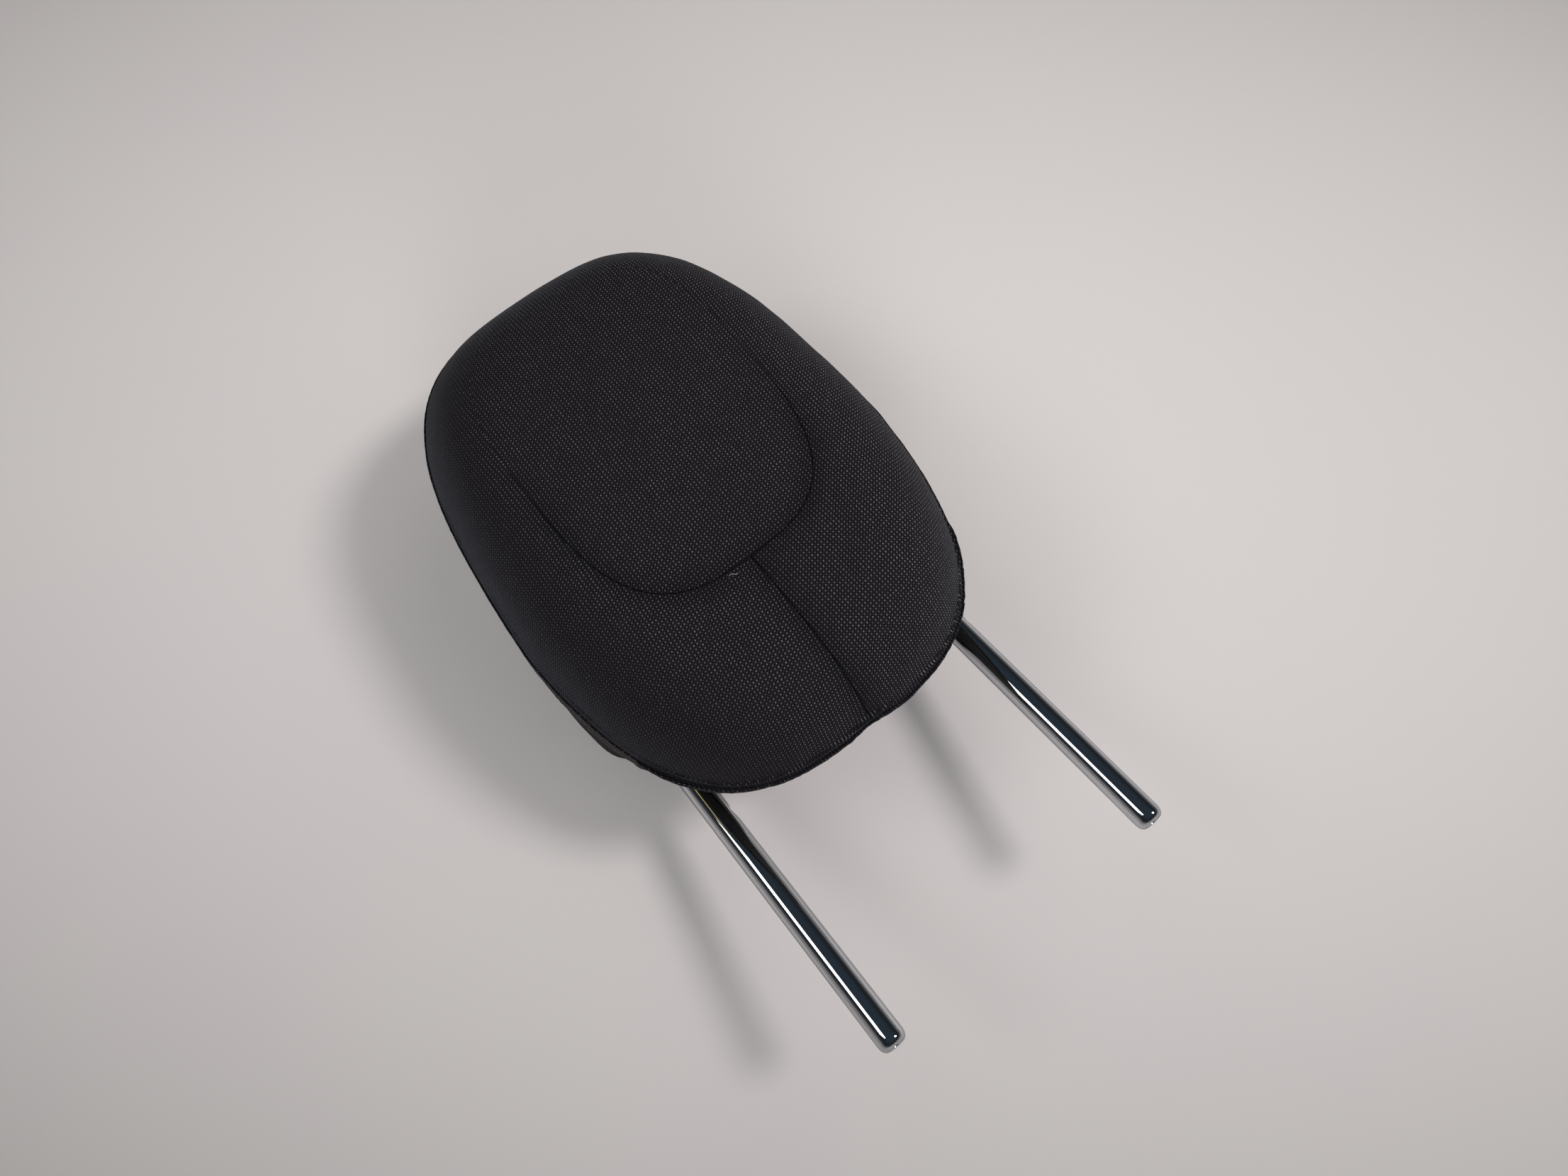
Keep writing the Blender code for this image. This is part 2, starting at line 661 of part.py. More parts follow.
def build_back_shell():
    shell = add_part("back_shell", mesh_from(lambda bm: loft(bm, shell_rings()), "back_shell"), GLOSS_BLACK)
    point_faces(shell, up=False)
    thicken(shell, SHELL_WALL)
    for number, (x, y) in enumerate(clip_places(), 1):
        side = math.copysign(1.0, x)
        half_thick, half_wide = TONGUE_THICKNESS / 2, TONGUE_WIDTH / 2
        low_z = RIM_HEIGHT - TRAY_THICKNESS - TONGUE_BELOW_TRAY
        low = (x - half_thick, y - half_wide, low_z)
        high = (x + half_thick, y + half_wide, RIM_HEIGHT + TONGUE_ABOVE_TRAY)
        boolean(shell, box_cutter(f"tongue_{number}", low, high), "UNION")
        near, far = x - side * half_thick, x + side * (TONGUE_FROM_WALL + SHELL_WALL / 2)
        low = (min(near, far), y - half_wide, low_z)
        high = (max(near, far), y + half_wide, low_z + TONGUE_FOOT_HEIGHT)
        boolean(shell, box_cutter(f"tongue_foot_{number}", low, high), "UNION")
    exits = {}
    for label, side in (("left", -1), ("right", 1)):
        location = post_point(side, SHELL_END_Y / math.cos(POST_LEAN))
        exits[label] = add_place(f"post_exit_{label}", location, post_axes(side))
        reach = SLEEVE_INSIDE + SHELL_BACK_RADIUS / 2
        radius = SEAT_RADIUS + SLEEVE_WALL + CLEARANCE
        hole = rod_cutter(f"post_hole_{label}", radius, 2 * reach, SLEEVE_STEPS, exits[label])
        hole.location.z = -reach
        boolean(shell, hole)
    return exits


def build_clips():
    """A folded spring strip over each tongue, with a barb above the tray on each leg."""
    middle = TONGUE_THICKNESS / 2 + CLEARANCE + CLIP_THICKNESS / 2
    top = TONGUE_ABOVE_TRAY + CLEARANCE + CLIP_THICKNESS / 2
    barb = TONGUE_ABOVE_TRAY / 3
    leg = [(middle, -TRAY_THICKNESS - CLIP_SKIRT), (middle, CLEARANCE), (middle + CLIP_BARB, barb),
           (middle, (barb + top) / 2), (middle, top)]
    section = leg + [(-x, z) for x, z in reversed(leg)]
    rows = [[(x, side * CLIP_WIDTH / 2, z) for x, z in section] for side in (-1, 1)]
    for number, (x, y) in enumerate(clip_places(), 1):
        name = f"shell_clip_{number}"
        clip = add_part(name, mesh_from(lambda bm: loft(bm, rows, wrap=False), name), ZINC)
        clip.location = (x, y, RIM_HEIGHT)
        modifier = clip.modifiers.new("thickness", "SOLIDIFY")
        modifier.thickness = CLIP_THICKNESS
        modifier.offset = 0.0
        modifier.use_even_offset = True


def place_root():
    """Put the origin on the supporting surface, midway between the tips and the top."""
    lowest_y = min(d * math.cos(POST_LEAN) - r * math.sin(POST_LEAN) for d, r in TIP_PROFILE)
    highest_y = RIM_CENTRE_Y + RIM_ABOVE
    ROOT.location = (0.0, -(lowest_y + highest_y) / 2, 0.0)


clear_scene()
PARTS = new_collection("car_headrest")
GUIDES = new_collection("cutters")
ROOT = bpy.data.objects.new("headrest", None)
bpy.context.scene.collection.objects.link(ROOT)

FABRIC_CENTRE = make_material("fabric_centre", (0.013, 0.012, 0.014), 0.85)
FABRIC_SURROUND = make_material("fabric_surround", (0.013, 0.012, 0.014), 0.85)
FOAM = make_material("foam", (0.35, 0.33, 0.28), 0.95)
TRAY_PLASTIC = make_material("tray_plastic", (0.02, 0.02, 0.02), 0.6)
CLAMP_PLASTIC = make_material("clamp_plastic", (0.03, 0.03, 0.03), 0.55)
SLEEVE_PLASTIC = make_material("sleeve_plastic", (0.015, 0.015, 0.016), 0.5)
GLOSS_BLACK = make_material("gloss_black", (0.01, 0.01, 0.011), 0.15)
CHROME = make_material("chrome", (0.8, 0.81, 0.82), 0.06, 1.0)
ZINC = make_material("zinc", (0.55, 0.55, 0.53), 0.35, 1.0)

build_post_frame()
build_tray()
build_sleeves(build_back_shell())
build_clips()
build_foam()
build_cover_centre()
build_cover_surround()
place_root()
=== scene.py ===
"""Looks of the car headrest that lies on its back: woven cover, gloss shell and chromed posts."""

import math

import bpy
import numpy as np
from mathutils import Matrix, Vector
from mathutils.kdtree import KDTree


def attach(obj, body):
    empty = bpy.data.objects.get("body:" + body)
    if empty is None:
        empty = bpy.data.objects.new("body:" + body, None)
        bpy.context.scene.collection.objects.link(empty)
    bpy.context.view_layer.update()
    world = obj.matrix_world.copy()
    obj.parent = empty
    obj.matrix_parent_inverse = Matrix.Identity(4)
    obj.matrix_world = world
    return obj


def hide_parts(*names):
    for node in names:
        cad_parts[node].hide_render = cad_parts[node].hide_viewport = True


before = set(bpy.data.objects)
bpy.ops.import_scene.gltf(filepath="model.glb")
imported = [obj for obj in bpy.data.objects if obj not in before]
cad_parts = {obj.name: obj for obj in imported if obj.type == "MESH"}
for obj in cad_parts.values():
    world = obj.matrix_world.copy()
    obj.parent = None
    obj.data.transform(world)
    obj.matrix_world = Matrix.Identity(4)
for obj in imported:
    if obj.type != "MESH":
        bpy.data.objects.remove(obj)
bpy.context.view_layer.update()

# Shapes are worked out with Y from the post tips, and moved by this to the model's origin
ORIGIN = np.array((0.0, -0.182855, 0.0))

# Outline of the pad at its rim
RIM_HEIGHT = 0.084
RIM_HALF_WIDTH = 0.0983
RIM_ABOVE = 0.1316
RIM_BELOW = 0.1322
RIM_CENTRE_Y = 0.2352
RIM_POWER = 3.2
TAPER_START_Y = 0.215
TAPER_LENGTH = 0.150
TAPER_SHARE = 0.122
TAPER_POWER = 1.05
NECK_SHARE = 0.0965
NECK_POWER = 1.39
CROWN_TOP = 0.1215
CROWN_POWER = 8.44
LIP_START_Y = 0.150
LIP_RISE = 0.0076
LEAN = 0.0009

# Panels of the cover
COVER_THICKNESS = 0.0021
PANEL_HALF_WIDTH = 0.057
PANEL_HALF_HEIGHT = 0.079
PANEL_CENTRE_Y = 0.264
PANEL_POWER = 3.0
SEAM_GAP = 0.00012
SEAM_ROLL = 0.0008
SEAM_ROLL_WIDTH = 0.0003
SEAM_DIP = 0.0004
SEAM_DIP_WIDTH = 0.0065
HALF_TURNS = (math.radians(-6.5), math.radians(4.5))
COLUMNS = 470
MIDDLE_RINGS = 52
PANEL_FOOT = np.array((0.0, PANEL_CENTRE_Y - PANEL_HALF_HEIGHT))

# Distances of the cover's rings from the seam and from the welt, finest beside them
SEAM_STEPS = np.array((0.0, 0.12, 0.25, 0.4, 0.6, 0.85, 1.2, 1.7, 2.4, 3.3, 4.5)) / 1000
WELT_STEPS = np.array((4.2, 3.2, 2.4, 1.8, 1.3, 0.9, 0.55, 0.3, 0.1)) / 1000

# The baked map: linings are drawn smaller, and edge faces get a strip of this width
LINING_SCALE = 0.30
EDGE_STRIP = 0.0008

# Welt round the cover's edge, as (distance inside the rim, height above it) in millimetres
BAND_WIDTH = 0.0009
BAND = ((0.96, 0.02), (0.90, -0.20), (0.82, -0.12), (0.70, 0.12), (0.54, 0.28), (0.38, 0.32),
        (0.22, 0.22), (0.09, 0.02), (0.0, -0.3), (0.0, -0.9), (0.02, -1.6), (0.06, -2.3),
        (0.16, -2.8), (0.34, -3.0))
STITCH_INSET = 0.0030
STITCH_PITCH = 0.0031
STITCH_DEPTH = 0.00009
STITCH_WIDTH = 0.0007
PUCKER_DEPTH = 0.00010
PUCKER_WIDTH = 0.0026
THREAD_RADIUS = 0.00013
THREAD_SIDES = 8
THREADS = (((-0.0125, 0.1834, 0.1213), (-0.0115, 0.1833, 0.1219), (-0.0106, 0.1828, 0.1221),
            (-0.0099, 0.1820, 0.1219), (-0.0088, 0.1820, 0.1218)),
           ((-0.0828, 0.1550, 0.0835), (-0.0839, 0.1551, 0.0832), (-0.0848, 0.1554, 0.0826),
            (-0.0857, 0.1564, 0.0822), (-0.0867, 0.1566, 0.0816)))
KINK_Y = 0.1525
KINK_STEP = 0.0008
FRAY_WIDTH = 0.0013

# Foam, which its cover holds beside the seams and low down, and which swells elsewhere
FOAM_INSET = COVER_THICKNESS + 0.0009
FOAM_VOXEL = 0.005
HELD_WIDTH = 0.006
HELD_HEIGHT = 0.094
HELD_FADE = 0.008
CLOTH_PRESSURE = 4.0
CLOTH_STIFFNESS = 20.0
CLOTH_FRAMES = 20
SWELL_LIMIT = 0.0024
SWELL_NEIGHBOURS = 12

# Posts
POST_RADIUS = 0.00635
POST_SPACING = 0.1417
POST_LEAN = math.radians(14.7)
TIP_HEIGHT = 0.072
FRAME_HEIGHT = 0.0228
BAR_Y = 0.300
KNEE_RADIUS = 0.040
BAR_BEND_RADIUS = 0.030
TIP_PROFILE = ((0.0040, 0.0012), (0.0008, 0.0015), (0.0002, 0.0017), (0.0, 0.0020), (0.0, 0.0032),
               (0.00008, 0.0039), (0.0003, 0.00455), (0.0007, 0.00512), (0.0012, 0.00558),
               (0.0018, 0.00592), (0.0025, 0.00616), (0.0033, 0.0063), (0.0042, POST_RADIUS))
NOTCHES = ((-1, 0.116, 0.124, 0.0013), (1, 0.116, 0.124, 0.0013), (1, 0.024, 0.028, 0.0008))
TUBE_SIDES = 96

# Back shell and sleeves
SHELL_WALL = 0.0026
SHELL_INSET = 0.0015
SHELL_END_Y = 0.1618
SHELL_END_POWER = 8.0
SHELL_TOP = 0.0807
SHELL_SHOULDER_HEIGHT = 0.064
SHELL_BACK_RADIUS = 0.028
SHELL_LIP = 0.0006
SHELL_DRAFT = 0.0004
SHELL_COLUMNS = 240
CLEARANCE = 0.0003
SLEEVE_WALL = 0.0022
SLEEVE_INSIDE = 0.011
FLANGE_WIDTH = 0.0046
FLANGE_THICKNESS = 0.003
SLEEVE_SIDES = 72

# Spacing of the light threads in the cloth, in millimetres
PITCH_ACROSS = 1.70
PITCH_ALONG = 1.60

# Floor, lamps, world and camera
FLOOR_HALF_SIZE = 14.0
SHADE_CENTRE = (0.129, 0.086)
SHADE_FALL = (1.378, 1.463, 1.304)
SHADE_RANGE = (0.57, 1.06)
TARGET = Vector((0.0, 0.0, 0.04))
WORLD_STOPS = ((0.0, (0.34, 0.33, 0.33)), (0.09, (0.27, 0.265, 0.27)), (0.24, (0.075, 0.076, 0.080)),
               (0.48, (0.018, 0.021, 0.025)), (1.0, (0.030, 0.044, 0.060)))
IMAGE_WIDTH = 2212
FOCAL_PIXELS = 1550
SENSOR_WIDTH = 36.0
CAMERA_AT = Vector((-0.0851, -0.125655, 0.5433))
CAMERA_RIGHT = Vector((0.7867, -0.6173, 0.0039))
CAMERA_UP = Vector((0.5853, 0.7480, 0.3130))


def ripple(points, wavelength, seed, waves=7):
    """Smooth noise from -1 to 1 over an array of points."""
    rng = np.random.RandomState(seed)
    total = np.zeros(points.shape[:-1])
    for _ in range(waves):
        direction = rng.normal(size=points.shape[-1])
        direction *= 2 * math.pi / (wavelength * rng.uniform(0.75, 1.4) * np.linalg.norm(direction))
        total += np.sin(points @ direction + rng.uniform(0, 2 * math.pi))
    return total / math.sqrt(waves * 2)


def mesh_object(name, points, faces):
    mesh = bpy.data.meshes.new(name)
    mesh.from_pydata(points.tolist(), [], [tuple(int(i) for i in face) for face in faces])
    mesh.validate()
    mesh.shade_smooth()
    obj = bpy.data.objects.new(name, mesh)
    bpy.context.scene.collection.objects.link(obj)
    return obj


def add_uv(obj, name, per_vertex):
    layer = obj.data.uv_layers.new(name=name)
    index = np.empty(len(obj.data.loops), dtype=np.int64)
    obj.data.loops.foreach_get("vertex_index", index)
    layer.data.foreach_set("uv", per_vertex[index].astype(np.float32).ravel())


def add_bake_uv(obj, corners_of):
    """A map for the baked textures, fitted into the unit square.

    corners_of gives the UV pairs of a face from its number and its vertices.
    """
    layer = obj.data.uv_layers.new(name="OFBake")
    faces = obj.data.polygons
    corners = np.concatenate([corners_of(face.index, np.array(face.vertices)) for face in faces])
    low, high = corners.min(0), corners.max(0)
    fitted = 0.004 + 0.992 * (corners - low) / (high - low).max()
    layer.data.foreach_set("uv", fitted.astype(np.float32).ravel())


def add_attribute(obj, name, per_vertex):
    layer = obj.data.attributes.new(name, "FLOAT", "POINT")
    layer.data.foreach_set("value", np.asarray(per_vertex, dtype=np.float32))


def place(obj, material):
    obj.data.materials.clear()
    obj.data.materials.append(material)
    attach(obj, "root")
    return obj


def grid_faces(rows, columns, wrap, start=0):
    """Quads over a grid of vertices stored row by row."""
    count = columns if wrap else columns - 1
    row, column = np.meshgrid(np.arange(rows - 1), np.arange(count), indexing="ij")
    after = (column + 1) % columns
    a = start + row * columns + column
    b = start + row * columns + after
    return np.stack((a, b, b + columns, a + columns), -1).reshape(-1, 4)


def full_turn(count):
    return np.linspace(0.0, 2 * math.pi, count, endpoint=False)


def cap(start, count):
    """The face that closes a ring of vertices."""
    return list(range(start, start + count))


# ---- shape of the pad ----

def superellipse(angle, half_width, half_height, power):
    across = np.abs(np.cos(angle) / half_width) ** power
    along = np.abs(np.sin(angle) / half_height) ** power
    radius = (across + along) ** (-1.0 / power)
    return radius * np.cos(angle), radius * np.sin(angle)


def taper(y):
    beyond = np.maximum(0.0, (y - TAPER_START_Y) / TAPER_LENGTH)
    return 1.0 - TAPER_SHARE * beyond ** TAPER_POWER


def neck(y):
    below = np.maximum(0.0, (RIM_CENTRE_Y - y) / RIM_BELOW)
    return 1.0 - NECK_SHARE * below ** NECK_POWER


def lean(y):
    """The sewn cover sits slightly askew: its top to one side and its lip to the other."""
    along = (RIM_CENTRE_Y - y) / RIM_BELOW
    return LEAN * along * np.abs(along)


def rim_xy(angle, inset=0.0):
    def outline(at):
        half_height = np.where(np.sin(at) > 0, RIM_ABOVE, RIM_BELOW)
        x, y = superellipse(at, RIM_HALF_WIDTH, half_height, RIM_POWER)
        y = y + RIM_CENTRE_Y
        return np.stack((x * taper(y) * neck(y) + lean(y), y), -1)
    point = outline(angle)
    along = outline(angle + 0.001) - outline(angle - 0.001)
    along /= np.linalg.norm(along, axis=-1, keepdims=True)
    return point + inset * np.stack((-along[..., 1], along[..., 0]), -1)


def rim_height(y):
    lip = np.maximum(0.0, (LIP_START_Y - y) / (LIP_START_Y - RIM_CENTRE_Y + RIM_BELOW))
    return RIM_HEIGHT + LIP_RISE * lip ** 3


def crown_height(xy):
    x, y = xy[..., 0], xy[..., 1]
    across = np.abs(x - lean(y)) / (RIM_HALF_WIDTH * taper(y) * neck(y))
    along = np.abs(y - RIM_CENTRE_Y) / np.where(y > RIM_CENTRE_Y, RIM_ABOVE, RIM_BELOW)
    share = (across ** RIM_POWER + along ** RIM_POWER) ** (1.0 / RIM_POWER)
    share = share * (1.0 + BAND_WIDTH / RIM_HALF_WIDTH)
    low = rim_height(y)
    return low + (CROWN_TOP - low) * np.maximum(0.0, 1.0 - share ** CROWN_POWER)


def seam_xy(angle):
    x, y = superellipse(angle, PANEL_HALF_WIDTH, PANEL_HALF_HEIGHT, PANEL_POWER)
    return np.stack((x, y + PANEL_CENTRE_Y), -1)


def lip_shift(points):
    """The lip's edge isn't a clean curve: drawn in at the centre seam, and lower beside it."""
    x, y = points[..., 0], points[..., 1]
    low = np.clip((0.135 - y) / 0.03, 0.0, 1.0) ** 2
    drawn_in = np.exp(-((x + 0.001) / 0.007) ** 2)
    lowered = np.exp(-((x - 0.019) / 0.010) ** 2)
    return 0.0009 * (drawn_in - lowered) * low


def with_height(xy):
    points = np.concatenate((xy, crown_height(xy)[..., None]), -1)
    points[..., 1] += lip_shift(points)
    return points


def resample(lines, distances):
    """Points at given distances along each polyline; lines is (count, steps, 3)."""
    steps = np.linalg.norm(np.diff(lines, axis=1), axis=-1)
    lengths = np.concatenate((np.zeros((len(lines), 1)), np.cumsum(steps, axis=1)), axis=1)
    where = distances(lengths[:, -1])
    out = np.empty((len(lines), where.shape[1], 3))
    for i, line in enumerate(lines):
        for axis in range(3):
            out[i, :, axis] = np.interp(where[i], lengths[i], line[:, axis])
    return out, where


def grid_normals(grid, wrap):
    """Unit normals of a (rows, columns, 3) grid, rows outwards and columns anticlockwise."""
    down = np.gradient(grid, axis=0)
    if wrap:
        across = (np.roll(grid, -1, axis=1) - np.roll(grid, 1, axis=1)) / 2
    else:
        across = np.gradient(grid, axis=1)
    normal = np.cross(down, across)
    return normal / np.maximum(np.linalg.norm(normal, axis=-1, keepdims=True), 1e-12)


def length_along(points):
    """Distance along a line of points, from its start."""
    steps = np.linalg.norm(np.diff(points, axis=0), axis=1)
    return np.concatenate(((0.0,), np.cumsum(steps)))


# ---- how the stuffed pad swells between its seams ----

def centre_seam_distance(points):
    """Distance from the lower centre seam, which ends at the oval seam."""
    beyond = np.maximum(0.0, points[..., 1] - PANEL_FOOT[1])
    return np.hypot(points[..., 0], beyond)


def oval_seam_distance(points):
    x, y = points[..., 0], points[..., 1] - PANEL_CENTRE_Y
    share = (np.abs(x / PANEL_HALF_WIDTH) ** PANEL_POWER
             + np.abs(y / PANEL_HALF_HEIGHT) ** PANEL_POWER) ** (1 / PANEL_POWER)
    return np.abs(share - 1.0) * np.hypot(x, y) / np.maximum(share, 1e-6)


def closed_pad(inset):
    """Rings of a closed body: a crown over a flat underside."""
    angles = np.linspace(-math.pi / 2, 1.5 * math.pi, 120, endpoint=False)
    centre = np.array((0.0, RIM_CENTRE_Y))
    rim = rim_xy(angles, inset)
    rings = []
    for share in (0.02, 0.2, 0.4, 0.6, 0.75, 0.86, 0.93, 0.97, 0.99, 1.0):
        outer = centre + (rim_xy(angles) - centre) * share
        points = with_height(outer)
        points[:, :2] = centre + (rim - centre) * share
        points[:, 2] -= inset
        rings.append(points)
    rings[-1][:, 2] = np.maximum(rings[-1][:, 2], RIM_HEIGHT + inset)
    for share in (1.0, 0.9, 0.7, 0.45, 0.2, 0.02):
        xy = centre + (rim - centre) * share
        rings.append(np.concatenate((xy, rim_height(xy[:, 1])[:, None] + CLEARANCE), -1))
    grid = np.array(rings)
    faces = grid_faces(len(rings), len(angles), True).tolist()
    faces.append(cap(0, len(angles))[::-1])
    last = (len(rings) - 1) * len(angles)
    faces.append(cap(last, len(angles)))
    return grid.reshape(-1, 3), faces


def apply_modifiers(obj):
    depsgraph = bpy.context.evaluated_depsgraph_get()
    mesh = bpy.data.meshes.new_from_object(obj.evaluated_get(depsgraph))
    obj.modifiers.clear()
    obj.data = mesh


def coordinates(mesh):
    co = np.empty(len(mesh.vertices) * 3)
    mesh.vertices.foreach_get("co", co)
    return co.reshape(-1, 3)


def set_coordinates(mesh, points):
    mesh.vertices.foreach_set("co", points.ravel())
    mesh.update()


def make_foam():
    """The foam pad, blown up as a cloth body that its cover holds at the seams and the rim."""
    points, faces = closed_pad(FOAM_INSET)
    foam = mesh_object("pad_foam", points, faces)
    remesh = foam.modifiers.new("remesh", "REMESH")
    remesh.mode = "VOXEL"
    remesh.voxel_size = FOAM_VOXEL
    apply_modifiers(foam)
    before = coordinates(foam.data)
    seam = np.minimum(centre_seam_distance(before), oval_seam_distance(before))
    held = np.exp(-(seam / HELD_WIDTH) ** 2)
    held = np.maximum(held, np.clip((HELD_HEIGHT - before[:, 2]) / HELD_FADE, 0.0, 1.0))
    group = foam.vertex_groups.new(name="held")
    for i, weight in enumerate(held):
        group.add([i], float(weight), "REPLACE")
    cloth = foam.modifiers.new("cloth", "CLOTH")
    cloth.settings.use_pressure = True
    cloth.settings.uniform_pressure_force = CLOTH_PRESSURE
    cloth.settings.effector_weights.gravity = 0.0
    cloth.settings.vertex_group_mass = "held"
    cloth.settings.pin_stiffness = 1.0
    cloth.settings.quality = 6
    cloth.settings.tension_stiffness = CLOTH_STIFFNESS
    cloth.settings.compression_stiffness = CLOTH_STIFFNESS
    cloth.point_cache.frame_end = CLOTH_FRAMES
    for number in range(1, CLOTH_FRAMES + 1):
        bpy.context.scene.frame_set(number)
    apply_modifiers(foam)
    foam.vertex_groups.clear()
    moved = coordinates(foam.data) - before
    size = np.linalg.norm(moved, axis=1, keepdims=True)
    moved *= np.minimum(1.0, SWELL_LIMIT / np.maximum(size, 1e-9))
    set_coordinates(foam.data, before + moved)
    bpy.context.scene.frame_set(1)
    return foam, before, moved


def swell(points, before, moved):
    """The pad's swelling at other points, from the nearest points of the foam."""
    flat = points.reshape(-1, 3)
    if not moved.any():
        return np.zeros_like(points)
    tree = KDTree(len(before))
    for i, co in enumerate(before):
        tree.insert(co, i)
    tree.balance()
    out = np.empty_like(flat)
    for i, point in enumerate(flat):
        near = tree.find_n(point, SWELL_NEIGHBOURS)
        weights = np.array([1.0 / (distance + 0.002) ** 3 for _, _, distance in near])
        out[i] = weights @ moved[[index for _, index, _ in near]] / weights.sum()
    return out.reshape(points.shape)


# ---- cover panels ----

def seam_drop(distance):
    """How deep the cloth turns down at a seam."""
    return (SEAM_ROLL * np.exp(-(distance / SEAM_ROLL_WIDTH) ** 1.5)
            + SEAM_DIP * np.exp(-(distance / SEAM_DIP_WIDTH) ** 2))


def seam_show(angles):
    """The oval seam is drawn tight below and lies almost flat over the top, sooner on the right."""
    limit = np.where(np.cos(angles) > 0, 0.02, 0.42)
    return 0.18 + 0.82 * np.clip((limit - np.sin(angles)) / 0.70, 0.0, 1.0)


def stitch_pucker(along, distance, seed):
    """Small gathers beside a sewn seam, one for each stitch, uneven from one to the next."""
    line = np.stack((along, np.full_like(along, seed * 0.1)), -1)
    uneven = 0.6 + 0.4 * ripple(line, 0.017, seed)
    wave = np.sin(2 * math.pi * along / STITCH_PITCH + 1.3 * ripple(line, 0.012, seed + 1))
    return PUCKER_DEPTH * uneven * wave * np.exp(-(distance / PUCKER_WIDTH) ** 2)


def relief_of(points):
    """Slow unevenness of the stuffed cover."""
    return 0.00022 * ripple(points, 0.045, 11) + 0.00010 * ripple(points, 0.016, 12)


def surround_angles():
    fine = np.radians((0.0, 0.28, 0.45, 0.65, 0.9, 1.2, 1.6, 2.1, 2.7, 3.4, 4.2))
    middle = np.linspace(fine[-1], 2 * math.pi - fine[-1], COLUMNS)[1:-1]
    return -math.pi / 2 + np.concatenate((fine, middle, 2 * math.pi - fine[::-1]))


def surround_lines(angles):
    """For each angle, the line from the oval seam over the crown and down to the welt."""
    share = (1.0 - (1.0 - np.linspace(0.0, 1.0, 260)) ** 1.6)[None, :, None]
    start, end = seam_xy(angles)[:, None, :], rim_xy(angles, BAND_WIDTH)[:, None, :]
    return with_height(start + (end - start) * share)


def surround_distances(lengths):
    middle = np.linspace(0.0, 1.0, MIDDLE_RINGS + 2)[1:-1]
    rows = []
    for length in lengths:
        low, high = SEAM_STEPS[-1], length - WELT_STEPS[0]
        rows.append(np.concatenate((SEAM_STEPS, low + (high - low) * middle, length - WELT_STEPS)))
    return np.array(rows)


def free_lip(rim):
    """One where the lip hangs free of the shell, and zero along the shell."""
    return np.clip((KINK_Y - rim[:, 1]) / 0.004, 0.0, 1.0)


def kink_step(y):
    """Below the kinks the lip is free, and its welt stands out a little further."""
    starts = np.clip((KINK_Y + 0.0015 - y) / 0.003, 0.0, 1.0)
    return KINK_STEP * starts * np.clip((y - 0.112) / 0.025, 0.0, 1.0)


def fray_share(angles):
    """Where the cover's cut edge stands out over the shell: the left side, down to the kink."""
    turned = np.degrees(np.mod(angles, 2 * math.pi))
    return np.clip((turned - 186) / 20, 0.0, 1.0) * np.clip((224.5 - turned) / 2.5, 0.0, 1.0)


def welt_show(angles):
    """The welt shows on the left side and along the free lip, and lies flat elsewhere."""
    left = np.clip((-np.cos(angles) - 0.1) / 0.5, 0.25, 1.0)
    return np.maximum(left, 0.75 * free_lip(rim_xy(angles)))


def welt_rings(angles):
    """Rings of the welt and the hem under it, rough where the cloth was cut."""
    rim = rim_xy(angles)
    at = np.stack((np.cos(angles), np.sin(angles)), -1) * 0.115
    rough = 0.00009 * ripple(at, 0.0035, 31) + 0.00007 * ripple(at, 0.0016, 32)
    rough = (rough + 0.00012 * ripple(at, 0.02, 33)) * (0.55 + 0.9 * free_lip(rim))
    rings = []
    show, fray = welt_show(angles), fray_share(angles)
    for inset, height in BAND:
        flare = fray * np.clip((-0.3 - height) / 1.6, 0.0, 1.0) * FRAY_WIDTH
        height = height * show if height > -0.25 else height
        out = np.clip((1.30 - inset) / 0.5, 0.0, 1.0)
        xy = rim_xy(angles, inset / 1000) - (rim_xy(angles, 0.001) - rim) * 1000 * (
            out * (kink_step(rim[:, 1]) + rough) + flare * (1.0 + 900 * rough))[:, None]
        low = rim_height(rim[:, 1]) + height / 1000 + 0.8 * rough * (out if inset > 0.2 else 1.6)
        ring = np.concatenate((xy, low[:, None]), -1)
        ring[:, 1] += lip_shift(ring)
        rings.append(ring)
    return np.array(rings)


def loose_threads():
    """Two ends of sewing thread: one at the end of the centre seam, one at the lip's left end."""
    points, faces = [], []
    for path in THREADS:
        path = np.array(path)
        along = np.gradient(path, axis=0)
        along /= np.linalg.norm(along, axis=-1, keepdims=True)
        side = np.cross(along, (0.0, 0.0, 1.0))
        side /= np.linalg.norm(side, axis=-1, keepdims=True)
        other = np.cross(side, along)
        turn = full_turn(THREAD_SIDES)[None, :, None]
        rings = path[:, None] + THREAD_RADIUS * (np.cos(turn) * side[:, None]
                                                 + np.sin(turn) * other[:, None])
        start = sum(len(p) for p in points)
        last = start + (len(path) - 1) * THREAD_SIDES
        points.append(rings.reshape(-1, 3))
        faces += grid_faces(len(path), THREAD_SIDES, True, start).tolist()
        faces.append(cap(start, THREAD_SIDES)[::-1])
        faces.append(cap(last, THREAD_SIDES))
    return np.concatenate(points), faces


def weave_map(flat, angles):
    """Map of the cloth: each half of the ring is turned about the oval's foot, most at the lip."""
    share = (1.0 - np.sin(angles)) / 2
    turn = np.where(np.cos(angles) > 0, HALF_TURNS[0], HALF_TURNS[1]) * share ** 1.5
    arm_x, arm_y = np.moveaxis(flat - PANEL_FOOT, -1, 0)
    return PANEL_FOOT + np.stack((arm_x * np.cos(turn) - arm_y * np.sin(turn),
                                  arm_x * np.sin(turn) + arm_y * np.cos(turn)), -1)


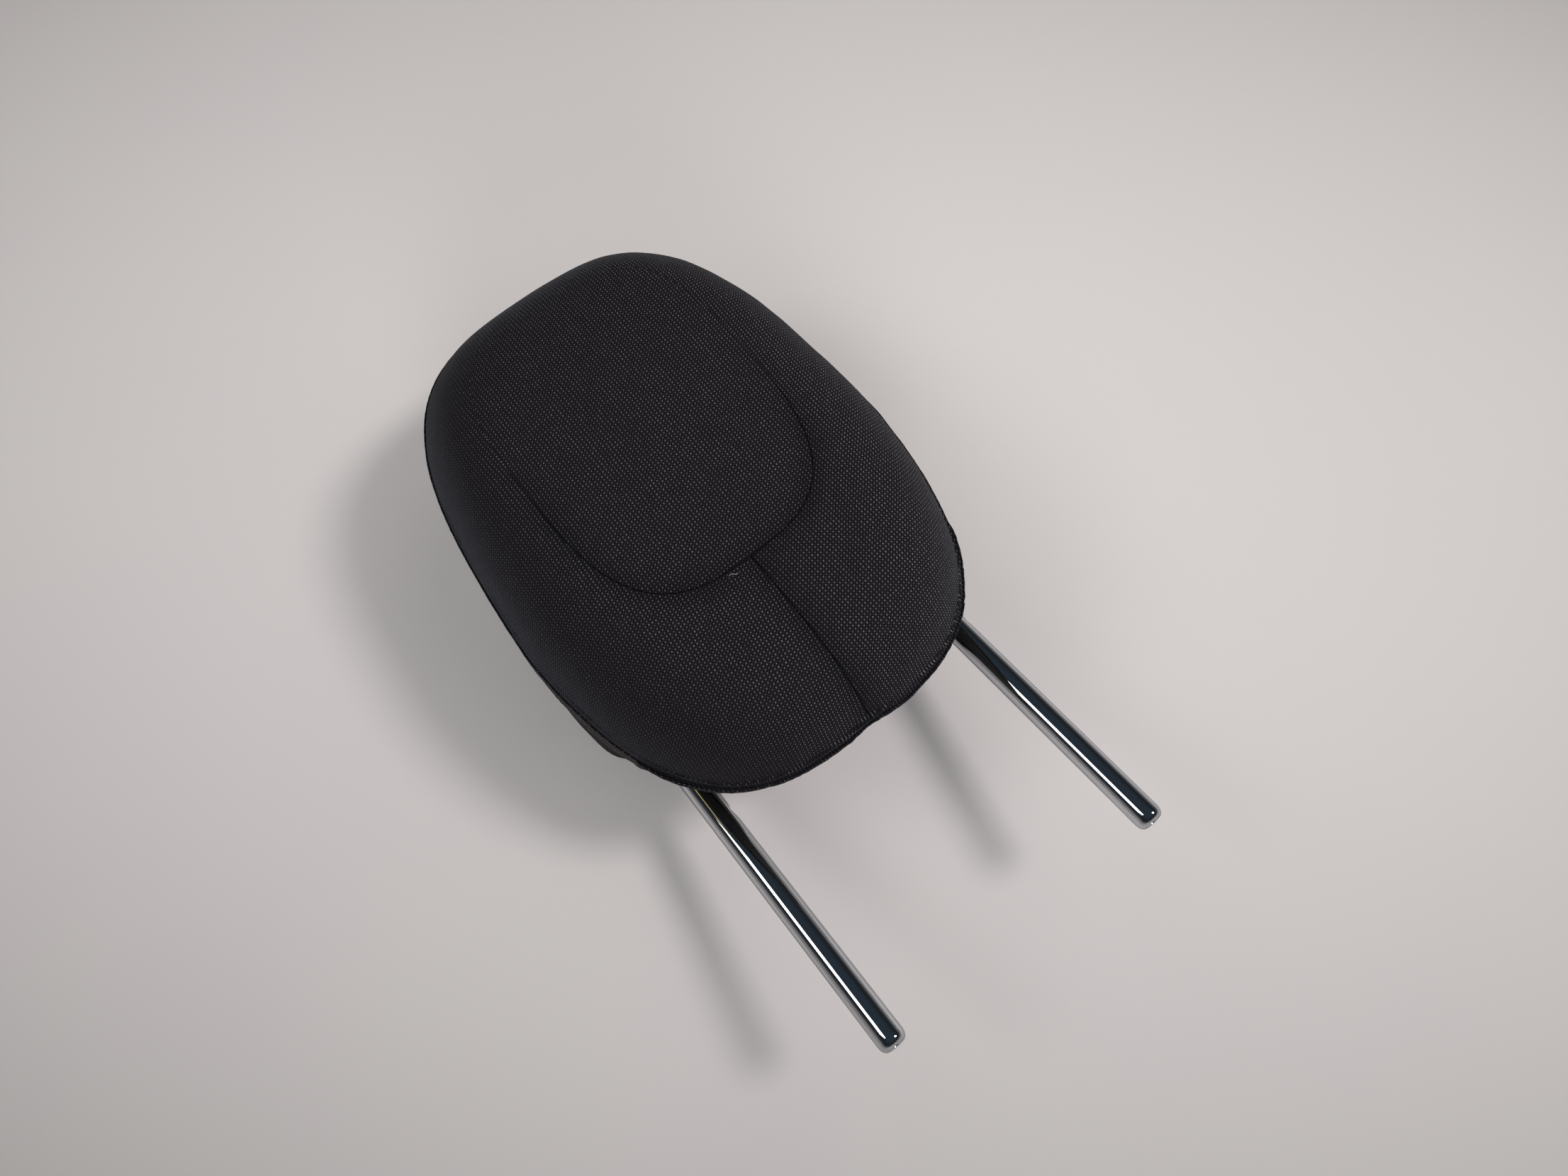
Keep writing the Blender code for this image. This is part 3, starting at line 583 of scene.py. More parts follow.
def make_surround(before, moved):
    angles = surround_angles()
    lines, distance = resample(surround_lines(angles), surround_distances)
    crown = lines.transpose(1, 0, 2)
    swollen = crown + swell(crown, before, moved)
    welt = welt_rings(angles)
    grid = np.concatenate((swollen, welt))
    steps = np.linalg.norm(np.diff(grid, axis=0), axis=-1)
    run = np.concatenate((distance.T, distance.T[-1] + np.cumsum(steps[len(crown) - 1:], axis=0)))
    plain = np.concatenate((crown, welt))
    line = plain[:, :1, 0]
    across = np.abs(plain[..., 0] - line)
    seam = seam_xy(angles)
    rim = rim_xy(angles)
    free = free_lip(rim)
    outward = rim - seam
    outward /= np.linalg.norm(outward, axis=-1, keepdims=True)
    flat = seam[None] + outward[None] * run[..., None]
    weave = weave_map(flat, angles)
    near_centre = (plain[..., 1] < PANEL_FOOT[1] + 0.003) & (across < 0.03)
    from_centre = np.where(near_centre, across, 0.05)
    along_oval = np.broadcast_to(length_along(seam)[None], run.shape)
    normal = grid_normals(grid, False)
    show = seam_show(angles)[None]
    at_welt = np.ones((len(grid), 1))
    at_welt[len(crown):] = 0.25
    drop = seam_drop(run) * show + seam_drop(from_centre) * at_welt
    drop += stitch_pucker(along_oval, run, 3) + stitch_pucker(plain[..., 1], from_centre, 5)
    from_rim = np.linalg.norm(plain[..., :2] - rim[None], axis=-1)
    stitch = 0.5 + 0.5 * np.cos(2 * math.pi * length_along(rim) / STITCH_PITCH)
    row = np.exp(-((from_rim - STITCH_INSET) / STITCH_WIDTH) ** 2) * (run < distance[:, -1])
    drop += STITCH_DEPTH * free * row * (0.8 + 0.2 * stitch)
    relief = relief_of(plain)
    relief[len(crown) - 4:] = 0.0
    outer = grid + normal * (relief - drop)[..., None]
    outer[len(crown):, :, 2] = np.minimum(outer[len(crown):, :, 2], grid[len(crown):, :, 2])
    inner = grid - normal * (COVER_THICKNESS + 0.3 * drop)[..., None]
    # Beside the welt the inner sheet runs straight down to the hem
    hem = len(crown) - len(WELT_STEPS)
    share = np.linspace(0.0, 1.0, len(grid) - hem)[:, None]
    inner[hem:, :, :2] = rim_xy(angles, COVER_THICKNESS)
    inner[hem:, :, 2] = inner[hem - 1, :, 2] * (1 - share) + outer[-1, :, 2] * share
    gap = np.where(np.arange(len(grid)) < len(crown) - 2, SEAM_GAP / 2, 0.00001)
    for sheet in (outer, inner):
        sheet[:, 0, 0] = line[:, 0] + gap
        sheet[:, -1, 0] = line[:, 0] - gap
    rows, columns = run.shape
    count = rows * columns
    top = grid_faces(rows, columns, False)[:, ::-1]
    faces = top.tolist() + (top[:, ::-1] + count).tolist()
    column = np.arange(columns - 1)
    row = np.arange(rows - 1) * columns
    last = (rows - 1) * columns
    edge_of = []
    for number, (first, second) in enumerate(((column, column + 1), (last + column + 1, last + column),
                                              (row + columns, row),
                                              (row + columns - 1, row + 2 * columns - 1))):
        faces += np.stack((first, second, second + count, first + count), -1).tolist()
        edge_of += [number] * len(first)
    extra, extra_faces = loose_threads()
    points = np.concatenate((outer.reshape(-1, 3), inner.reshape(-1, 3), extra))
    faces += [[2 * count + i for i in face] for face in extra_faces]
    obj = mesh_object("cover_surround", points + ORIGIN, faces)
    both = np.concatenate((weave.reshape(-1, 2), weave.reshape(-1, 2), np.zeros((len(extra), 2))))
    add_uv(obj, "weave", both * 1000)

    # On the baked map the sheet is cut at the centre seam, and the lining lies in the panel's hole
    flat[..., 0] += 0.0012 * np.linspace(1.0, -1.0, columns)[None]
    sheet = flat.reshape(-1, 2)
    lining = PANEL_FOOT + (0.0, 0.074) + (sheet - sheet.mean(0)) * LINING_SCALE
    side = np.full((columns, 2), (0.75 * EDGE_STRIP, 0.0))
    strips = (outward * -EDGE_STRIP, outward * EDGE_STRIP, -side, side)

    def bake_uv(index, vertices):
        if index < len(top):
            return sheet[vertices]
        if index < 2 * len(top):
            return lining[vertices - count]
        edge = index - 2 * len(top)
        if edge < len(edge_of):
            move = strips[edge_of[edge]][vertices % columns]
            return sheet[vertices % count] + np.where((vertices >= count)[:, None], move, 0.0)
        return PANEL_FOOT + (-0.045, 0.130) + (points[vertices, :2] - extra[0, :2]) * LINING_SCALE

    add_bake_uv(obj, bake_uv)

    def both_sheets(values, threads=0.0):
        return np.concatenate((values.ravel(), values.ravel(), np.full(len(extra), threads)))

    edge = np.zeros(run.shape)
    edge[len(crown) + 7:] = 1.0
    edge[len(crown) + 6] = 0.5
    add_attribute(obj, "cut_edge", both_sheets(edge))
    # How deep the seams, the welt's groove and the lip's stitch rows sink; the material paints shade
    # there from this
    depth = np.maximum(seam_drop(run) * show ** 1.5, seam_drop(from_centre))
    depth = np.clip(depth / SEAM_ROLL, 0.0, 1.0)
    groove = slice(len(crown) - 1, len(crown) + 3)
    depth[groove] = np.maximum(depth[groove], 0.8 * welt_show(angles)[None] ** 1.5)
    for back, sunk in ((8, 0.2), (7, 0.4), (6, 0.5), (5, 0.55), (4, 0.6), (3, 0.6), (2, 0.6)):
        depth[len(crown) - back] = np.maximum(depth[len(crown) - back], sunk * free)
    add_attribute(obj, "seam", both_sheets(depth))
    add_attribute(obj, "fray", both_sheets(np.broadcast_to(fray_share(angles)[None], run.shape)))
    add_attribute(obj, "thread", both_sheets(np.zeros(run.shape), 1.0))
    return obj


def make_centre(before, moved):
    angles = full_turn(COLUMNS) - math.pi / 2
    seam = seam_xy(angles)
    centre = np.array((0.0, PANEL_CENTRE_Y))
    radius = np.linalg.norm(seam - centre, axis=-1)
    outward = (seam - centre) / radius[:, None]
    shares = np.linspace(0.01, 1.0, 34)[:-1]
    rings = [centre + outward * (radius - SEAM_STEPS[-1])[:, None] * share for share in shares]
    rings += [centre + outward * (radius - SEAM_GAP / 2 - step)[:, None] for step in SEAM_STEPS[::-1]]
    xy = np.array(rings)
    grid = with_height(xy)
    run = radius[None] - np.linalg.norm(xy - centre, axis=-1)
    along = np.broadcast_to(length_along(seam)[None], run.shape)
    swollen = grid + swell(grid, before, moved)
    normal = grid_normals(swollen, True)
    show = seam_show(angles)[None]
    drop = seam_drop(run) * show + stitch_pucker(along, run, 4)
    outer = swollen + normal * (relief_of(grid) - drop)[..., None]
    inner = swollen - normal * (COVER_THICKNESS + 0.3 * drop)[..., None]
    rows, columns = run.shape
    count = rows * columns
    points = np.concatenate((outer.reshape(-1, 3), inner.reshape(-1, 3))) + ORIGIN
    top = grid_faces(rows, columns, True)[:, ::-1]
    faces = top.tolist() + (top[:, ::-1] + count).tolist()
    faces.append(cap(0, columns))
    faces.append(cap(count, columns)[::-1])
    column = np.arange(columns)
    last = (rows - 1) * columns
    first, second = last + (column + 1) % columns, last + column
    faces += np.stack((first, second, second + count, first + count), -1).tolist()
    obj = mesh_object("cover_centre", points, faces)
    flat = xy.reshape(-1, 2)
    add_uv(obj, "weave", np.concatenate((flat, flat)) * 1000)
    lining = (0.080, 0.300) + (flat - centre) * LINING_SCALE

    def bake_uv(index, vertices):
        if vertices.min() >= count:
            return lining[vertices - count]
        move = EDGE_STRIP * outward[vertices % columns]
        return flat[vertices % count] + np.where((vertices >= count)[:, None], move, 0.0)

    add_bake_uv(obj, bake_uv)
    for name in ("cut_edge", "fray", "thread"):
        add_attribute(obj, name, np.zeros(2 * count))
    # How deep the seam sinks; the material paints shade there from this
    depth = np.clip(seam_drop(run) * show ** 1.5 / SEAM_ROLL, 0.0, 1.0).ravel()
    add_attribute(obj, "seam", np.concatenate((depth, depth)))
    return obj


# ---- back shell ----

def shell_xy(angles, inset):
    inset = inset + SHELL_INSET
    low = np.sin(angles) < 0
    half_height = np.where(low, RIM_CENTRE_Y - SHELL_END_Y - inset + SHELL_INSET, RIM_ABOVE - inset)
    power = np.where(low, SHELL_END_POWER, RIM_POWER)
    x, y = superellipse(angles, RIM_HALF_WIDTH - inset, half_height, power)
    y = y + RIM_CENTRE_Y
    return np.stack((x * taper(y) + lean(y), y), -1)


def shell_profile():
    """Height and inset of each ring, from the open rim to the flat back."""
    top, necked = SHELL_TOP - SHELL_LIP, 0.96
    levels = [(SHELL_TOP, 0.0, 1.0), (top, -0.00015, necked)]
    for angle in np.linspace(0.0, math.pi / 2, 15)[1:]:
        down = (SHELL_TOP - SHELL_SHOULDER_HEIGHT) * (1 - math.cos(angle))
        levels.append((top - down, 0.0, necked * (1 - math.sin(angle))))
    shoulder = SHELL_SHOULDER_HEIGHT - SHELL_LIP
    for z in np.linspace(shoulder, SHELL_BACK_RADIUS, 12)[1:]:
        levels.append((z, SHELL_DRAFT * (shoulder - z) / (shoulder - SHELL_BACK_RADIUS), 0.0))
    for angle in np.linspace(0.0, math.pi / 2, 21)[1:]:
        levels.append((SHELL_BACK_RADIUS * (1 - math.sin(angle)),
                       SHELL_DRAFT + SHELL_BACK_RADIUS * (1 - math.cos(angle)), 0.0))
    return levels


def make_shell():
    angles = full_turn(SHELL_COLUMNS) - math.pi / 2
    outer, inner = [], []
    for height, inset, necked in shell_profile():
        for rings, wall in ((outer, 0.0), (inner, SHELL_WALL)):
            xy = shell_xy(angles, inset + wall)
            xy[:, 0] *= 1.0 + (neck(xy[:, 1]) - 1.0) * necked
            z = height + wall * max(0.0, 1.0 - height / SHELL_BACK_RADIUS)
            rings.append(np.concatenate((xy, np.full((len(angles), 1), z)), -1))
    centre = np.array((0.0, RIM_CENTRE_Y, 0.0))
    for rings, wall in ((outer, 0.0), (inner, SHELL_WALL)):
        last = rings[-1]
        for share in (0.92, 0.75, 0.5, 0.25, 0.03):
            ring = centre + (last - centre) * share
            ring[:, 2] = wall
            rings.append(ring)
    grid = np.array(outer + inner[::-1])
    rows, columns = grid.shape[:2]
    faces = grid_faces(rows, columns, True)
    half = len(outer)
    between = (faces[:, 0] // columns) == half - 1
    faces = faces[~between].tolist()
    wrap = grid_faces(2, columns, True)
    rim = np.stack((wrap[:, 1], wrap[:, 0], wrap[:, 0] + (rows - 1) * columns,
                    wrap[:, 1] + (rows - 1) * columns), -1)
    faces += rim.tolist()
    faces.append(cap((half - 1) * columns, columns))
    faces.append(cap(half * columns, columns)[::-1])
    obj = mesh_object("shell_gloss", grid.reshape(-1, 3) + ORIGIN, faces)
    obj.data.flip_normals()
    return obj


# ---- posts and sleeves ----

def post_point(side, distance):
    return Vector((side * POST_SPACING / 2, distance * math.cos(POST_LEAN),
                   TIP_HEIGHT - distance * math.sin(POST_LEAN)))


def rounded_corner(before, corner, after, radius, steps):
    back, ahead = (before - corner).normalized(), (after - corner).normalized()
    half = back.angle(ahead) / 2
    centre = corner + (back + ahead).normalized() * radius / math.sin(half)
    first = (corner + back * radius / math.tan(half) - centre).normalized()
    last = (corner + ahead * radius / math.tan(half) - centre).normalized()
    return [centre + first.slerp(last, i / steps).normalized() * radius for i in range(steps + 1)]


def post_stations(side):
    """(point, radius) pairs along one leg, from inside the tip's hole to the middle of the bar."""
    stations = [(post_point(side, d), r) for d, r in TIP_PROFILE]
    marks = [0.01, 0.02]
    for owner, start, end, _ in NOTCHES:
        if owner == side:
            marks += [start, start + 0.00005, *np.linspace(start, end, 5)[1:], end + 0.00006]
    marks += [0.06, 0.09, 0.14, 0.16]
    stations += [(post_point(side, d), POST_RADIUS) for d in sorted(set(float(m) for m in marks))]
    knee = post_point(side, (TIP_HEIGHT - FRAME_HEIGHT) / math.sin(POST_LEAN))
    corner = Vector((knee.x, BAR_Y, FRAME_HEIGHT))
    path = rounded_corner(post_point(side, 0.0), knee, corner, KNEE_RADIUS, 8)
    path += rounded_corner(knee, corner, Vector((0.0, BAR_Y, FRAME_HEIGHT)), BAR_BEND_RADIUS, 28)
    return stations + [(point, POST_RADIUS) for point in path]


def make_posts():
    left, right = post_stations(-1), post_stations(1)
    stations = left + right[::-1]
    count = len(stations)
    tangents = []
    for i in range(count):
        before, after = stations[max(0, i - 1)], stations[min(count - 1, i + 1)]
        tangents.append(after[0] - before[0])
    for i in range(len(TIP_PROFILE)):
        tangents[i] = post_point(-1, 1.0) - post_point(-1, 0.0)
        tangents[count - 1 - i] = post_point(1, 0.0) - post_point(1, 1.0)
    side = Vector((1.0, 0.0, 0.0))
    turn = full_turn(TUBE_SIDES)
    rows = []
    for (point, radius), tangent in zip(stations, tangents):
        tangent = tangent.normalized()
        side = (side - tangent * side.dot(tangent)).normalized()
        other = tangent.cross(side)
        offset = (np.outer(np.cos(turn), side) + np.outer(np.sin(turn), other)) * radius
        distance = point.y * math.cos(POST_LEAN) + (TIP_HEIGHT - point.z) * math.sin(POST_LEAN)
        for owner, start, end, depth in NOTCHES:
            if owner * point.x > 0 and start < distance <= end + 1e-7 and radius == POST_RADIUS:
                limit = POST_RADIUS - depth * (distance - start) / (end - start)
                offset[:, 0] = np.minimum(offset[:, 0], limit)
        rows.append(np.array(point) + offset)
    grid = np.array(rows)
    faces = grid_faces(count, TUBE_SIDES, True)[:, ::-1].tolist()
    faces.append(cap(0, TUBE_SIDES))
    last = (count - 1) * TUBE_SIDES
    faces.append(cap(last, TUBE_SIDES)[::-1])
    obj = mesh_object("posts_chrome", grid.reshape(-1, 3) + ORIGIN, faces)
    obj.data.set_sharp_from_angle(angle=math.radians(35))
    return obj


def make_sleeve(label, side):
    """A turned bush whose flange lies flat on the shell's sloping end wall."""
    inner, outer = POST_RADIUS + CLEARANCE, POST_RADIUS + CLEARANCE + SLEEVE_WALL
    rim = outer + FLANGE_WIDTH - SLEEVE_WALL
    rise = rim * math.tan(POST_LEAN) + FLANGE_THICKNESS
    wall = None  # Stands for the height of the sloping wall, found for each point below
    profile = [(inner + 0.0005, rise), (inner, rise - 0.0005), (inner, -SLEEVE_INSIDE),
               (outer, -SLEEVE_INSIDE), (outer, wall), (rim, wall), (rim, rise - 0.0012),
               (rim - 0.0003, rise - 0.0005), (rim - 0.0009, rise - 0.0001), (rim - 0.0014, rise)]
    origin = post_point(side, SHELL_END_Y / math.cos(POST_LEAN))
    outward = (post_point(side, 0.0) - origin).normalized()
    frame_matrix = Matrix.Translation(origin) @ outward.to_track_quat("Z", "Y").to_matrix().to_4x4()
    turn = full_turn(SLEEVE_SIDES)
    rows = []
    for radius, height in profile:
        ring = []
        for angle in turn:
            local = Vector((radius * math.cos(angle), radius * math.sin(angle), height or 0.0))
            point = frame_matrix @ local
            if height is wall:
                point += outward * ((SHELL_END_Y - CLEARANCE - point.y) / outward.y)
            ring.append(point)
        rows.append(ring)
    grid = np.array(rows)
    faces = grid_faces(len(profile), len(turn), True).tolist()
    closing = grid_faces(2, len(turn), True)
    last = (len(profile) - 1) * len(turn)
    faces += np.stack((closing[:, 1], closing[:, 0], closing[:, 0] + last, closing[:, 1] + last),
                      -1).tolist()
    obj = mesh_object(f"sleeve_{label}", grid.reshape(-1, 3) + ORIGIN, faces)
    obj.data.set_sharp_from_angle(angle=math.radians(50))
    return obj


# ---- materials ----

class Shader:
    """Adds and links the nodes of one material."""

    def __init__(self, name):
        self.material = bpy.data.materials.new(name)
        self.material.use_nodes = True
        self.tree = self.material.node_tree
        self.bsdf = self.tree.nodes["Principled BSDF"]

    def node(self, kind, inputs=(), **settings):
        node = self.tree.nodes.new(kind)
        for name, value in settings.items():
            setattr(node, name, value)
        for name, value in dict(inputs).items():
            self.put(value, node.inputs[name])
        return node

    def put(self, value, socket):
        if isinstance(value, bpy.types.NodeSocket):
            self.tree.links.new(value, socket)
        else:
            socket.default_value = value

    def math(self, operation, *values):
        node = self.node("ShaderNodeMath", operation=operation)
        for value, socket in zip(values, node.inputs):
            self.put(value, socket)
        return node.outputs[0]

    def plus(self, *values):
        total = values[0]
        for value in values[1:]:
            total = self.math("ADD", total, value)
        return total

    def minus(self, a, b):
        return self.math("SUBTRACT", a, b)

    def times(self, a, b):
        return self.math("MULTIPLY", a, b)

    def distance(self, x, y):
        return self.math("SQRT", self.plus(self.math("POWER", x, 2.0), self.math("POWER", y, 2.0)))

    def attribute(self, name):
        return self.node("ShaderNodeAttribute", attribute_name=name).outputs["Fac"]

    def white_noise(self, vector):
        node = self.node("ShaderNodeTexWhiteNoise", {"Vector": vector}, noise_dimensions="3D")
        return node.outputs["Value"]

    def mix(self, share, a, b):
        node = self.node("ShaderNodeMix", data_type="RGBA")
        self.put(share, node.inputs[0])
        for value, socket in ((a, node.inputs[6]), (b, node.inputs[7])):
            self.put(value if isinstance(value, bpy.types.NodeSocket) else (*value, 1.0), socket)
        return node.outputs[2]

    def vector(self, operation, a, b):
        node = self.node("ShaderNodeVectorMath", operation=operation)
        self.put(a, node.inputs[0])
        self.put(b, node.inputs["Scale" if operation == "SCALE" else 1])
        return node.outputs["Value" if operation == "DOT_PRODUCT" else "Vector"]

    def split(self, vector):
        return self.node("ShaderNodeSeparateXYZ", {"Vector": vector}).outputs

    def noise(self, vector, scale, detail=2.0):
        node = self.node("ShaderNodeTexNoise", {"Scale": scale, "Detail": detail})
        self.put(vector, node.inputs["Vector"])
        return node.outputs["Fac"]

    def steps(self, value, low, high, from_value=0.0, to_value=1.0):
        node = self.node("ShaderNodeMapRange", interpolation_type="SMOOTHSTEP")
        for share, socket in zip((value, low, high, from_value, to_value), node.inputs):
            self.put(share, socket)
        return node.outputs[0]

    def bump(self, height, distance, strength):
        node = self.node("ShaderNodeBump",
                         {"Strength": strength, "Distance": distance, "Height": height})
        self.put(node.outputs[0], self.bsdf.inputs["Normal"])

    def set(self, **values):
        for name, value in values.items():
            self.put(value, self.bsdf.inputs[name.replace("_", " ")])

    def place_coordinates(self):
        return self.node("ShaderNodeTexCoord").outputs["Object"]


def weave_material(name):
    """Dark cloth whose plain weave shows one light thread in each cell, on a map in millimetres."""
    s = Shader(name)
    cloth = s.node("ShaderNodeUVMap", uv_map="weave").outputs[0]
    wander = s.node("ShaderNodeTexNoise", {"Vector": cloth, "Scale": 0.06, "Detail": 1.0})
    shift = s.vector("SCALE", s.vector("SUBTRACT", wander.outputs["Color"], (0.5, 0.5, 0.5)), 1.1)
    at = s.vector("ADD", cloth, shift)

    # Cells of the weave, and the place within a cell, in millimetres from its middle
    u = s.vector("DOT_PRODUCT", at, (1 / PITCH_ACROSS, 0.0, 0.0))
    v = s.vector("DOT_PRODUCT", at, (0.0, 1 / PITCH_ALONG, 0.0))
    cell = s.node("ShaderNodeCombineXYZ", {"X": s.math("FLOOR", u), "Y": s.math("FLOOR", v)}).outputs[0]
    across = s.times(s.minus(s.math("FRACT", u), 0.5), PITCH_ACROSS)
    along = s.times(s.minus(s.math("FRACT", v), 0.5), PITCH_ALONG)

    # The light thread: a slightly slanted oval, uneven in size and tone from cell to cell
    slant = s.minus(across, s.times(along, 0.12))
    uneven = s.white_noise(s.vector("ADD", cell, (31.0, 7.0, 0.0)))
    far = s.times(s.distance(slant, s.times(along, 0.74)), s.plus(0.88, s.times(uneven, 0.24)))
    fleck = s.steps(far, 0.07, 0.42, 1.0, 0.0)
    light = s.mix(s.white_noise(cell), (0.104, 0.098, 0.106), (0.194, 0.186, 0.197))

    # The dark ground: ridges of the weave with painted shade in the gaps between them, knots at the
    # corners of the cells, and fibres
    turn_u = s.times(across, 2 * math.pi / PITCH_ACROSS)
    turn_v = s.times(along, 2 * math.pi / PITCH_ALONG)
    ridge = s.times(s.math("COSINE", turn_u), s.math("COSINE", turn_v))
    cross = s.math("COSINE", s.minus(turn_u, turn_v))
    raised = s.plus(0.5, s.plus(s.times(ridge, 0.28), s.times(cross, 0.22)))
    corner = s.distance(s.minus(s.math("ABSOLUTE", across), PITCH_ACROSS / 2),
                        s.minus(s.math("ABSOLUTE", along), PITCH_ALONG / 2))
    knot = s.times(s.steps(corner, 0.10, 0.46, 1.0, 0.0), 0.75)
    yarn = s.noise(s.vector("MULTIPLY", at, (5.0, 0.8, 1.0)), 1.0)
    twist = s.math("SINE", s.times(s.plus(across, slant), 2 * math.pi / 0.24))
    # Painted shade: the ground's own dark colour falls to near black in the low gaps of the weave
    dark = s.mix(raised, (0.0018, 0.0013, 0.0021), (0.0150, 0.0126, 0.0162))
    dark = s.mix(s.times(yarn, 0.35), dark, (0.0090, 0.0076, 0.0098))
    dark = s.mix(s.times(s.noise(at, 0.09, 3.0), 0.28), dark, (0.0095, 0.0060, 0.0076))
    dark = s.mix(knot, dark, (0.0200, 0.0172, 0.0215))

    # Painted light: the light threads are brightened on faces turned to the right, towards the key
    # lamp, and near the lip, and dimmed on faces turned to the left
    facing = s.split(s.node("ShaderNodeNewGeometry").outputs["Normal"])[0]
    fleck_painted_light = s.times(s.steps(facing, -0.50, 0.35, 0.34, 1.12),
                      s.steps(s.split(s.place_coordinates())[1], 0.04, 0.17, 1.0, 0.74))
    colour = s.mix(s.times(fleck, fleck_painted_light), dark, light)

    # Cut edges, painted shade in the sunk seams, and loose threads
    fray = s.attribute("fray")
    rough = s.mix(fray, (0.012, 0.010, 0.011), (0.040, 0.034, 0.031))
    speck = s.steps(s.noise(cloth, 2.2, 3.0), 0.60, 0.70)
    raw = s.mix(s.times(speck, s.plus(0.10, s.times(fray, 0.8))), rough, (0.23, 0.22, 0.21))
    colour = s.mix(s.attribute("cut_edge"), colour, raw)
    # Painted shade: the cloth is darkened by how deep its seams, the welt's groove and the stitch rows
    # sink
    colour = s.mix(s.times(s.attribute("seam"), 0.75), colour, (0.0012, 0.0010, 0.0014))
    colour = s.mix(s.attribute("thread"), colour, (0.33, 0.31, 0.29))
    s.set(Base_Color=colour, Roughness=0.78, Specular_IOR_Level=0.14, Sheen_Weight=0.10,
          Sheen_Roughness=0.35, Sheen_Tint=(0.62, 0.70, 0.86, 1.0))
    height = s.plus(s.times(fleck, 0.45), s.times(raised, 0.45), s.times(knot, 0.35),
                    s.times(twist, 0.06), s.times(yarn, 0.25))
    s.bump(height, 0.00024, 0.85)
    return s.material


def chrome_material():
    s = Shader("chrome_plate")
    at = s.place_coordinates()
    smudge = s.steps(s.noise(at, 90.0, 4.0), 0.55, 0.8, 0.035, 0.13)
    s.set(Base_Color=(0.62, 0.63, 0.645, 1.0), Metallic=1.0, Roughness=smudge,
          Specular_Tint=(0.50, 0.50, 0.53, 1.0))
    return s.material


def gloss_material():
    s = Shader("gloss_black_plastic")
    at = s.place_coordinates()
    haze = s.steps(s.noise(at, 60.0, 4.0), 0.4, 0.75, 0.50, 0.62)
    # The left end is worn dull, and the rest is polished
    x, y = s.split(at)[:2]
    worn = s.times(s.steps(x, -0.060, -0.015, 1.0, 0.0), s.steps(y, 0.035, 0.085, 1.0, 0.0))
    s.set(Base_Color=(0.006, 0.0055, 0.0065, 1.0), Roughness=haze, Specular_IOR_Level=0.02,
          Coat_Weight=s.steps(worn, 0.0, 1.0, 0.7, 0.0), Coat_Roughness=0.16)
    s.bump(s.noise(at, 220.0, 1.0), 0.00002, 0.3)
    return s.material


def plastic_material(name, colour, roughness):
    s = Shader(name)
    at = s.place_coordinates()
    grain = s.noise(at, 2600.0)
    dark, light = [c * 0.8 for c in colour], [c * 1.25 for c in colour]
    s.set(Base_Color=s.mix(s.noise(at, 40.0, 3.0), dark, light),
          Roughness=s.steps(grain, 0.3, 0.7, roughness - 0.08, roughness + 0.08))
    s.bump(grain, 0.00005, 0.5)
    return s.material


def zinc_material():
    s = Shader("zinc_plate")
    at = s.place_coordinates()
    cloud = s.noise(at, 900.0, 3.0)
    s.set(Base_Color=s.mix(cloud, (0.45, 0.44, 0.40), (0.62, 0.62, 0.60)), Metallic=1.0,
          Roughness=s.steps(cloud, 0.3, 0.7, 0.28, 0.5))
    return s.material


def foam_material():
    s = Shader("moulded_foam")
    at = s.place_coordinates()
    cells = s.noise(at, 1800.0, 3.0)
    s.set(Base_Color=s.mix(cells, (0.035, 0.035, 0.037), (0.06, 0.06, 0.062)), Roughness=0.95)
    s.bump(cells, 0.0003, 0.8)
    return s.material


# ---- assembly ----

FABRIC_CENTRE = weave_material("woven_fabric_centre")
FABRIC_SURROUND = weave_material("woven_fabric_surround")
CHROME = chrome_material()
GLOSS = gloss_material()
SLEEVE = plastic_material("sleeve_moulding", (0.016, 0.016, 0.017), 0.45)
TRAY = plastic_material("tray_moulding", (0.022, 0.022, 0.023), 0.6)
CLAMP = plastic_material("clamp_moulding", (0.03, 0.03, 0.031), 0.55)
ZINC = zinc_material()
FOAM = foam_material()

foam, before, moved = make_foam()
set_coordinates(foam.data, coordinates(foam.data) + ORIGIN)
foam.modifiers.new("smooth", "SUBSURF").levels = 1
foam.modifiers["smooth"].render_levels = 1
place(foam, FOAM)
foam.data.shade_smooth()
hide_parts("foam_pad")

centre = place(make_centre(before, moved), FABRIC_CENTRE)
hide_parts("cover_centre_panel")

surround = place(make_surround(before, moved), FABRIC_SURROUND)
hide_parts("cover_surround_panel")

shell = place(make_shell(), GLOSS)
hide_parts("back_shell")

posts = place(make_posts(), CHROME)
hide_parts("post_frame")

for label, side in (("left", -1), ("right", 1)):
    sleeve = place(make_sleeve(label, side), SLEEVE)
    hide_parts(f"post_sleeve_{label}")

for name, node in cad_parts.items():
    if name == "armature_tray":
        finish = TRAY
    elif "clamp_screw" in name or "clip" in name:
        finish = ZINC
    elif "clamp" in name:
        finish = CLAMP
    else:
        continue
    for material_slot in node.material_slots:
        material_slot.material = finish


# ---- floor, lights and camera ----

